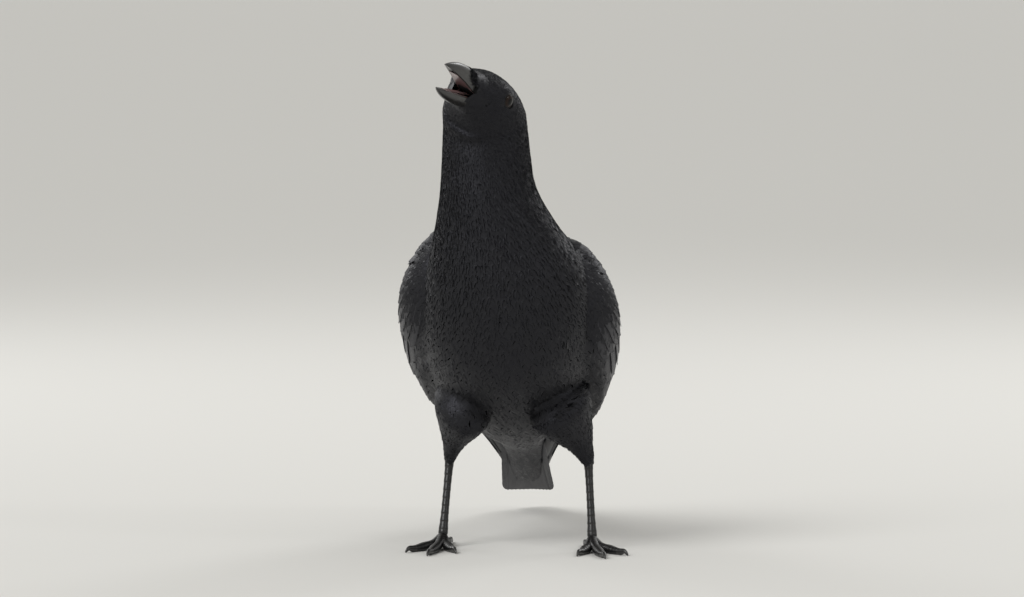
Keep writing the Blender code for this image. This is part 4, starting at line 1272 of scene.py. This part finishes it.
# A toe at x from its root to its claw: a tube that comes down from the foot, with three pads, plates on
# top and its underside flat on the floor.
def makeFoot(side):
    forward, left, turn = legs[side]
    rows, columns = 90, 28
    verts, faces, grooves = [], [], []
    for k, (toe, (angle, length, claw)) in enumerate(leg["toes"].items()):
        heading = math.radians(sides[side] * (angle + turn))
        way = np.array((math.cos(heading), math.sin(heading), 0.0))
        base = np.array((forward, left, 0.0))
        x = np.linspace(0, 1, rows)
        height = leg["foot"] + leg["toeArch"] * (1 - x) ** 3 - leg["toeDrop"] * (2 * x - x * x) - leg["sole"]
        path = base + way * (x * length)[:, None] + np.array((0.0, 0.0, 1.0)) * height[:, None]
        pads = 0.35 * np.cos(3 * math.pi * x)
        radii = leg["toeRadius"] + (leg["toeTip"] - leg["toeRadius"]) * x + pads
        radii = radii * roundOff((x - 0.93) / 0.07, share=0.6)
        points = tubePoints(path, radii, 1.0, columns)
        out = unit(points - path[:, None])
        top = smooth((out[..., 2] + 0.1) / 0.5)
        count = round(length / leg["toePlate"])
        points = points + out * (leg["toeStep"] * (plateSaw(x[:, None] * count) - 0.5) * top)[..., None]
        points[..., 2] = np.maximum(points[..., 2], 0.0)
        verts.append(withEnds(points))
        faces += [[k * len(verts[0]) + v for v in face] for face in tubeFaces(rows, columns)]
        grooves.append(np.append((plateGroove(x * count, 0.14)[:, None] * top).ravel(), (0.0, 0.0)))
        makeClaw(side, toe, base, way, length, claw)
    mesh = bpy.data.meshes.new("toes_" + side)
    mesh.from_pydata(toWorld(np.concatenate(verts)).tolist(), [], faces)
    faceOut(mesh)
    setValues(mesh, "groove", np.concatenate(grooves))
    made = addPiece("toes_" + side, mesh, legBlack)
    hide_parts("foot_" + side)


# A claw bends down along an arc from the toe's end to the floor, thinning to a point.
def makeClaw(side, toe, base, way, length, reach):
    curve = math.radians(leg["clawCurve"])
    radius = reach / curve
    scale = (leg["foot"] - leg["toeDrop"] - leg["clawEnd"]) / (radius * (1 - math.cos(curve)))
    x = np.concatenate(((-0.25, -0.12), np.linspace(0, 0.94, 26), (0.965, 0.98, 0.99, 0.997)))
    out = length + leg["clawGap"] + radius * np.sin(curve * x)
    bend = np.maximum(x, 0.0)
    height = leg["foot"] - leg["toeDrop"] + np.sin(math.pi * bend) ** 2
    height = height - scale * radius * (1 - np.cos(curve * bend)) - leg["sole"] * (1 - bend)
    path = base + way * out[:, None] + np.array((0.0, 0.0, 1.0)) * height[:, None]
    radii = (leg["clawRadius"] * (1 - bend) ** 0.8 + leg["clawPoint"]) * roundOff((x - 0.93) / 0.07, 0.02)
    points = tubePoints(path, radii, 0.85, 20)
    points[..., 2] = np.maximum(points[..., 2], 0.0)
    made = tubePiece("claw_horn_" + side + "_" + toe, points, clawBlack)
    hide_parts("claw_" + side + "_" + toe)


for side in sides:
    makeShank(side)
    makeFoot(side)
print("legs ready")


bill = {
    "upperLength": 56.0, "upperDepth": 13.2, "upperHalf": 8.8, "hook": 2.2,
    "lowerLength": 52.0, "lowerDepth": 8.6, "lowerHalf": 8.2, "rows": 110, "arc": 48,
    "tongueFrom": 5.0, "tongueLength": 34.0, "tongueHalf": 2.6, "tongueThick": 1.6,
    "gapeFrom": 0.3, "gapeTo": 12.0, "gapeHollow": 4.5, "gapeInside": 0.6,
    "liningFrom": 1.2, "liningLength": 38.0, "liningInside": 0.9, "liningThick": 0.0003,  # the last in metres
}
billTip = (0.972, 0.982, 0.99, 0.996)  # closer rows at the tip


# Half width and depth of each mandible at part of its length, 0 at its base and 1 at its tip.
def upperHalf(part):
    return bill["upperHalf"] * (1 - part) ** 0.62


def lowerHalf(part):
    return bill["lowerHalf"] * (1 - part) ** 0.58


def upperDepth(part):
    return bill["upperDepth"] * (1 - part**2.6) ** 0.9


def lowerDepth(part):
    return bill["lowerDepth"] * (1 - part**3) ** 0.8


# The upper mandible at x from base to tip: a gothic arch of its depth and half width that sags by
# hook * x^4, with a shallow hollow underneath.
def upperBillForm():
    x = np.append(np.linspace(0, 0.96, bill["rows"]), billTip)[:, None]
    depth, half, sag = upperDepth(x), upperHalf(x), -bill["hook"] * x**4
    a = np.linspace(0, math.pi, bill["arc"] + 1)[None, :]
    arch = stacked(x * bill["upperLength"], half * np.cos(a), sag + depth * np.sin(a).clip(0, 1) ** 0.85)
    w = np.linspace(-1, 1, 15)[None, 1:-1]
    hollow = stacked(x * bill["upperLength"], half * w, sag + 0.1 * depth * (1 - w**2) ** 0.7)
    return np.concatenate((arch, hollow), axis=1)


# The lower mandible: a straight keel of its depth and half width, with a trough along its top.
def lowerBillForm():
    x = np.append(np.linspace(0.02, 0.96, bill["rows"]), billTip)[:, None]
    depth, half = lowerDepth(x), lowerHalf(x)
    a = np.linspace(0, math.pi, bill["arc"] + 1)[None, :]
    keel = stacked(x * bill["lowerLength"], half * np.cos(a), -depth * np.sin(a).clip(0, 1) ** 0.8)
    w = np.linspace(-1, 1, 15)[None, 1:-1]
    trough = stacked(x * bill["lowerLength"], half * w, -0.16 * depth * (1 - w**2) ** 0.7)
    return np.concatenate((keel, trough), axis=1)


# An open sheet of the mouth's lining, with a thin thickness.
def liningPiece(name, points, material):
    made = meshObject(name, points, gridFaces(*points.shape[:2]), material)
    solid = made.modifiers.new("thickness", "SOLIDIFY")
    solid.thickness, solid.offset = bill["liningThick"], 0.0


# The skin of the gape joins both edges of the bill at the corner of the mouth: straight between them at each
# x, with a hollow front edge, and drawn in a little between.
def makeGape(side, sign, material):
    s = np.linspace(0, 1, 14)[:, None]
    w = np.linspace(0, 1, 17)[None, :]
    x = bill["gapeFrom"] + (bill["gapeTo"] - bill["gapeFrom"] - bill["gapeHollow"] * np.sin(math.pi * w)) * s
    upper = (upperHalf(x / bill["upperLength"]) - bill["gapeInside"]) * sign
    lower = (lowerHalf(x / bill["lowerLength"]) - bill["gapeInside"]) * sign
    above = inHead(stacked(x, upper, 0.2))
    below = lowerBillPlace(stacked(x, lower, 0.4))
    points = below * (1 - w[..., None]) + above * w[..., None]
    points = points - (above - inHead(stacked(x, 0.9 * upper, 0.2))) * np.sin(math.pi * w)[..., None]
    liningPiece("gape_skin_" + side, points, material)


# Lining of the mouth: moist grey-pink skin over the palate, the floor and the corners of the gape.
def mouthPink():
    made, tree, shader = newMaterial(
        "mouth_lining_moist", Specular_IOR_Level=0.6, Coat_Weight=0.4, Coat_Roughness=0.15, Roughness=0.42,
        Subsurface_Weight=0.1, Subsurface_Radius=(0.002, 0.0008, 0.0006),
    )
    place = addNode(tree, "TexCoord").outputs["Object"]
    blotch = addNode(
        tree, "TexNoise", values={"Scale": 220.0, "Detail": 4.0}, links={0: place}
    ).outputs["Fac"]
    colour = addNode(tree, "Mix", {"data_type": "RGBA"}, between("#8a6a69", "#5a4648"), {0: blotch})
    bump = addNode(tree, "Bump", values={"Strength": 0.3, "Distance": 0.0004}, links={"Height": blotch})
    feed(tree, shader, {"Base Color": colour.outputs[2], "Normal": bump.outputs[0]})
    return made


# The palate and the floor of the mouth meet at its back, each hollowed there by (1 - w^2)^0.7 * (1 - s). The
# tongue is a flat tube with a furrow along its top.
def makeMouth():
    pink = mouthPink()
    s = np.linspace(0, 1, 60)[:, None]
    w = np.linspace(-1, 1, 25)[None, :]
    x = bill["liningFrom"] + bill["liningLength"] * s
    upper, lower = x / bill["upperLength"], x / bill["lowerLength"]
    roof = -0.12 - bill["hook"] * upper**4 + 1.1 * (1 - w**2) ** 0.7 * (1 - s)
    palate = inHead(stacked(x, (upperHalf(upper) - bill["liningInside"]) * w, roof))
    bed = 0.12 - 1.3 * (1 - w**2) ** 0.7 * (1 - s)
    floor = lowerBillPlace(stacked(x, (lowerHalf(lower) - bill["liningInside"]) * w, bed))
    liningPiece("mouth_lining", np.concatenate((palate[::-1], floor), axis=0), pink)
    for side, sign in sides.items():
        makeGape(side, sign, pink)
    x = np.concatenate((np.linspace(0, 0.94, 40), (0.965, 0.985, 0.997)))[:, None]
    a = circle(28)[None, :]
    half = bill["tongueHalf"] * (1 - 0.75 * x**2) * roundOff((x - 0.9) / 0.1, 0.01)
    thick = bill["tongueThick"] * (1 - 0.5 * x)
    furrow = 0.22 * np.exp(-(np.cos(a) / 0.18) ** 2) * (np.sin(a) > 0)
    points = stacked(
        bill["tongueFrom"] + x * bill["tongueLength"], half * np.cos(a),
        0.35 + thick * (1 + np.sin(a)) / 2 - furrow
    )
    tongue = tubePiece("tongue_flesh", lowerBillPlace(points), pink)
    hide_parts("tongue")


def makeBill():
    upper = tubePiece("bill_horn_upper", inHead(upperBillForm()), billBlack)
    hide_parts("bill_upper")
    lower = tubePiece("bill_horn_lower", lowerBillPlace(lowerBillForm()), billBlack)
    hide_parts("bill_lower")
    makeMouth()
    makeBristles()


# The bristles over the bill's base and the chin's feathers. Roots and tips of the bristles are in millimetres
# forward from the corner of the mouth, the tips by how far round a bristle is from the bill's ridge.
bristles = {
    "mixFrom": 9.0, "mixOver": 11.0, "step": 0.25, "reach": 40.0, "columns": 61,
    "count": 1300, "root": 3.5, "rootSpread": 12.0, "around": 0.42, "width": 0.5, "shortest": 4.0,
    "tipAt": (0, 0.2, 0.33, 0.42), "tip": (20.5, 25.5, 25.0, 17.0),
    "chinGap": 1.25, "chinFrom": 4.0, "chinTo": 21.0, "chinCurve": 22.0, "chinSides": 0.93, "chinLength": 5.2,
}


# The face's form in front of the eyes, at x forward and angle a over the bill (upper) or under it: the
# head's own ring where x is small, the bill's arch or keel where it is large, and a smooth mix between.
def faceForm(x, a, upper):
    forward = np.array([ring[0] for ring in headRings], float)
    ring = curveThrough(
        [ring[1:6] for ring in headRings], np.interp(x[:, 0], forward, np.arange(len(forward)))
    )
    centre, half, above, below = (ring[:, k, None] for k in (0, 2, 3, 4))
    head = stacked(x, half * np.cos(a), centre + (above if upper else -below) * np.sin(a))
    mix = smooth((x - bristles["mixFrom"]) / bristles["mixOver"])[..., None]
    if upper:
        part = x / bill["upperLength"]
        ridge = -bill["hook"] * part**4 + upperDepth(part) * np.sin(a) ** 0.85
        horn = inHead(stacked(x, upperHalf(part) * np.cos(a), ridge))
    else:
        part = x / bill["lowerLength"]
        horn = lowerBillPlace(stacked(x, lowerHalf(part) * np.cos(a), -lowerDepth(part) * np.sin(a) ** 0.8))
    return inHead(head) * (1 - mix) + horn * mix


# Bristles lie forward over the nostrils and the base of the upper mandible. Under the bill short feathers
# start between its two sides and run back to the throat.
def makeBristles():
    rows, columns = round(bristles["reach"] / bristles["step"]) + 1, bristles["columns"]
    x = np.linspace(0, bristles["reach"], rows)[:, None]
    a = np.linspace(0.0, math.pi, columns)[None, :]
    look = {
        "columns": 3, "rows": 7, "shoulder": 0.3, "point": 1.6, "root": 0.6, "tipWidth": 0.15, "rise": 0.6,
        "roundness": 0.3, "fray": 0.0, "cup": 0.0, "shaft": 0.12, "lift": 0.25, "sweep": 1.0,
    }
    sheet = makeSheet(faceForm(x, a, True), False, inHead((20.0, 0.0, -20.0)))
    count = bristles["count"]
    around = dice.uniform(0.5 - bristles["around"], 0.5 + bristles["around"], count)
    start = bristles["root"] + bristles["rootSpread"] * dice.beta(1.3, 1.2, count)
    around = 0.5 + (around - 0.5) * np.interp(start, (bristles["root"], 8.0), (0.8, 1.0))
    reach = np.interp(np.abs(around - 0.5), bristles["tipAt"], bristles["tip"]) + dice.normal(0, 1.6, count)
    growVanes(
        "nasal_bristles", sheet, start / bristles["step"], around * (columns - 1),
        np.maximum(reach - start, bristles["shortest"]), bristles["width"],
        dice.normal(0, 0.1, count), -0.3, 0.45,
        look, downyVane, way=1.0,
    )
    sheet = makeSheet(faceForm(x, a, False), False, inHead((20.0, 0.0, 10.0)))
    i, j = layRows(sheet, bristles["chinGap"], 0.8)
    forward, aside = i * bristles["step"], np.abs(j / (columns // 2) - 1)
    keep = (forward > bristles["chinFrom"]) & (aside < bristles["chinSides"])
    keep &= i < bristles["chinTo"] / bristles["step"] - bristles["chinCurve"] * aside**2
    i, j = i[keep], j[keep]
    growVanes(
        "chin_feathers", sheet, i, j, bristles["chinLength"] * dice.uniform(0.8, 1.2, len(i)), 0.95,
        dice.normal(0, 0.12, len(i)), -0.35, 0.15,
        dict(bodyLook, rows=5, columns=5, point=1.5, fray=0.2, lift=0.12), downyVane,
    )


makeBill()
print("bill ready")


# The eye: a wet dark ball whose iris is deep brown round a black pupil, by the sine of the angle from its
# own axis, which is its attribute gaze.
def eyeGlass():
    made, tree, shader = newMaterial("eye_wet_brown", Roughness=0.03, IOR=1.376, Specular_IOR_Level=0.35)
    gaze = addNode(tree, "Attribute", {"attribute_name": "gaze"}).outputs["Fac"]
    place = addNode(tree, "TexCoord").outputs["Object"]
    fibres = addNode(
        tree, "TexNoise", values={"Scale": 1400.0, "Detail": 3.0}, links={0: place}
    ).outputs["Fac"]
    shade = addNode(tree, "Math", {"operation": "MULTIPLY_ADD"}, {1: 0.06}, {0: fibres, 2: gaze})
    ramp = addNode(tree, "ValToRGB", links={0: shade.outputs[0]})
    stops = ramp.color_ramp.elements
    stops[0].position, stops[0].color = 0.36, linear("#020202")
    stops[1].position, stops[1].color = 0.4, linear("#170e09")
    for position, colour in ((0.6, "#1f130c"), (0.72, "#0f0906"), (0.8, "#040303")):
        stop = stops.new(position)
        stop.color = linear(colour)
    feed(tree, shader, {"Base Color": ramp.outputs[0]})
    return made


# Skin of the eyelid: a thin black leathery rim with a fine pebbled grain.
def lidSkin():
    made, tree, shader = newMaterial("eyelid_skin_black", Specular_IOR_Level=0.35, Roughness=0.55)
    place = addNode(tree, "TexCoord").outputs["Object"]
    grain = addNode(tree, "TexVoronoi", values={"Scale": 1600.0}, links={0: place}).outputs["Distance"]
    colour = addNode(tree, "Mix", {"data_type": "RGBA"}, between("#131212", "#080808"), {0: grain})
    bump = addNode(tree, "Bump", values={"Strength": 0.2, "Distance": 0.0002}, links={"Height": grain})
    feed(tree, shader, {"Base Color": colour.outputs[2], "Normal": bump.outputs[0]})
    return made


# The lid's opening is an oval by oval and leans by lean, and its skirt is that far from the eye's axis, in
# degrees. Its skin lies at height over the ball, with a rim on it and its inner side under it.
lid = {
    "oval": 4, "lean": 3, "skirt": 84, "height": 0.14, "rim": 0.26,
    "rimAt": 0.07, "rimWidth": 0.08, "under": 0.04,
    "outer": 15, "inner": 5, "round": 72,
}


def makeEyes():
    glass, skin = eyeGlass(), lidSkin()
    for side, sign in sides.items():
        axis = eyeAxis * (1, sign, 1)
        across = np.array((1.0, 0.0, 0.0)) - axis * axis[0]
        across /= np.linalg.norm(across)
        axes = (axis, across, np.cross(across, axis) * -sign)
        centre = np.array(eye["place"]) * (1, sign, 1)
        polar = np.linspace(eye["pole"], math.pi - eye["pole"], eye["rows"])[:, None, None]
        turn = circle(eye["columns"])[None, :, None]
        made = tubePiece(
            "eyeball_" + side, inHead(centre + eye["radius"] * onBall(axes, polar, turn)), glass
        )
        gaze = np.repeat(np.sin(np.minimum(polar, math.pi / 2)).ravel(), eye["columns"])
        setValues(made.data, "gaze", np.append(gaze, (0.0, 1.0)))
        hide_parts("eye_" + side)
        turn = circle(lid["round"])[:, None, None]
        oval, lean = math.radians(lid["oval"]), math.radians(lid["lean"])
        opening = math.radians(eye["opening"]) + oval * np.cos(2 * turn) - lean * np.sin(turn)
        t = np.append(np.linspace(0, 1, lid["outer"]) ** 1.6, np.linspace(1, 0, lid["inner"]))
        height = lid["height"] + lid["rim"] * np.exp(-((t - lid["rimAt"]) / lid["rimWidth"]) ** 2)
        height = np.where(np.arange(len(t)) < lid["outer"], height, lid["under"])[None, :, None]
        polar = opening + (math.radians(lid["skirt"]) - opening) * t[None, :, None]
        ring = centre + (eye["radius"] + height) * onBall(axes, polar, turn)
        ring = np.concatenate((ring, ring[:1]), axis=0)
        rim = meshObject(
            "eyelid_" + side, inHead(ring), gridFaces(*ring.shape[:2], closed=True), skin
        )
        faceOut(rim.data, joined=True)


makeEyes()
print("eyes ready")


# A wide pale daylight, soft from all round and from a low broad sun, with small soft lights: one on the side
# the camera sees, one that the eye mirrors as its catchlight, and two behind that draw the back's edges.
studio = {
    "azimuth": 3.5, "elevation": 4.5, "distance": 4.05, "lens": 200.0, "aim": (-0.004, -0.03, 0.176),
    "world": "#e9e8e4", "worldPower": 0.675,
    "sun": "#fffffd", "sunPower": 1.35, "sunWidth": 28, "sunWay": (1.0, 1.2, -1.5),
    "floorHalf": 70, "lightsAim": (0, 0, 0.16),
    "lights": {  # place, size, power
        "key_softbox": ((-1.3, -1.6, 1.7), 1.1, 6),
        "eye_light": ((1.52, -1.05, 1.23), 0.3, 3),
        "rim_left": ((1.2, 1.5, 1.3), 0.8, 9),
        "rim_right": ((-1.4, 1.3, 1.0), 0.8, 7),
    },
}


# Puts something in the scene at a place, turned to look along way.
def putObject(name, data, place, way):
    made = bpy.data.objects.new(name, data)
    made.location = place
    made.rotation_euler = Vector(way).to_track_quat("-Z", "Y").to_euler()
    bpy.context.scene.collection.objects.link(made)
    return made


# Matt seamless paper: pale, rough and very slightly uneven, so that the shadow on it is soft.
def floorPaper():
    made, tree, shader = newMaterial("studio_floor_paper", Roughness=0.85)
    grain = addNode(tree, "TexNoise", values={"Scale": 6.0, "Detail": 4.0}).outputs["Fac"]
    tint = addNode(tree, "Mix", {"data_type": "RGBA"}, between("#cfcecb", "#d7d6d3"), {0: grain})
    feed(tree, shader, {"Base Color": tint.outputs[2]})
    return made


def setStage():
    mesh = bpy.data.meshes.new("studio_floor")
    half = studio["floorHalf"]
    mesh.from_pydata(
        [(-half, -half, 0), (half, -half, 0), (half, half, 0), (-half, half, 0)], [], [(0, 1, 2, 3)]
    )
    mesh.materials.append(floorPaper())
    ground = bpy.data.objects.new("studio_floor", mesh)
    bpy.context.scene.collection.objects.link(ground)
    world = bpy.data.worlds.new("studio")
    world.use_nodes = True
    world.node_tree.nodes["Background"].inputs[0].default_value = linear(studio["world"])
    world.node_tree.nodes["Background"].inputs[1].default_value = studio["worldPower"]
    bpy.context.scene.world = world
    sun = bpy.data.lights.new("key_sun", "SUN")
    sun.energy, sun.angle = studio["sunPower"], math.radians(studio["sunWidth"])
    sun.color = linear(studio["sun"])[:3]
    putObject("key_sun", sun, (0, 0, 0), studio["sunWay"])
    for name, (place, size, power) in studio["lights"].items():
        light = bpy.data.lights.new(name, "AREA")
        light.shape, light.size, light.energy = "DISK", size, power
        putObject(name, light, place, Vector(studio["lightsAim"]) - Vector(place))


def setCamera():
    azimuth, elevation = math.radians(studio["azimuth"]), math.radians(studio["elevation"])
    level = math.cos(elevation)
    back = Vector((math.sin(azimuth) * level, -math.cos(azimuth) * level, math.sin(elevation)))
    data = bpy.data.cameras.new("camera")
    data.lens, data.clip_end = studio["lens"], 60
    camera = putObject("camera", data, Vector(studio["aim"]) + back * studio["distance"], -back)
    bpy.context.scene.camera = camera


setStage()
setCamera()
bpy.context.scene.view_settings.view_transform = "Standard"
print("stage ready")
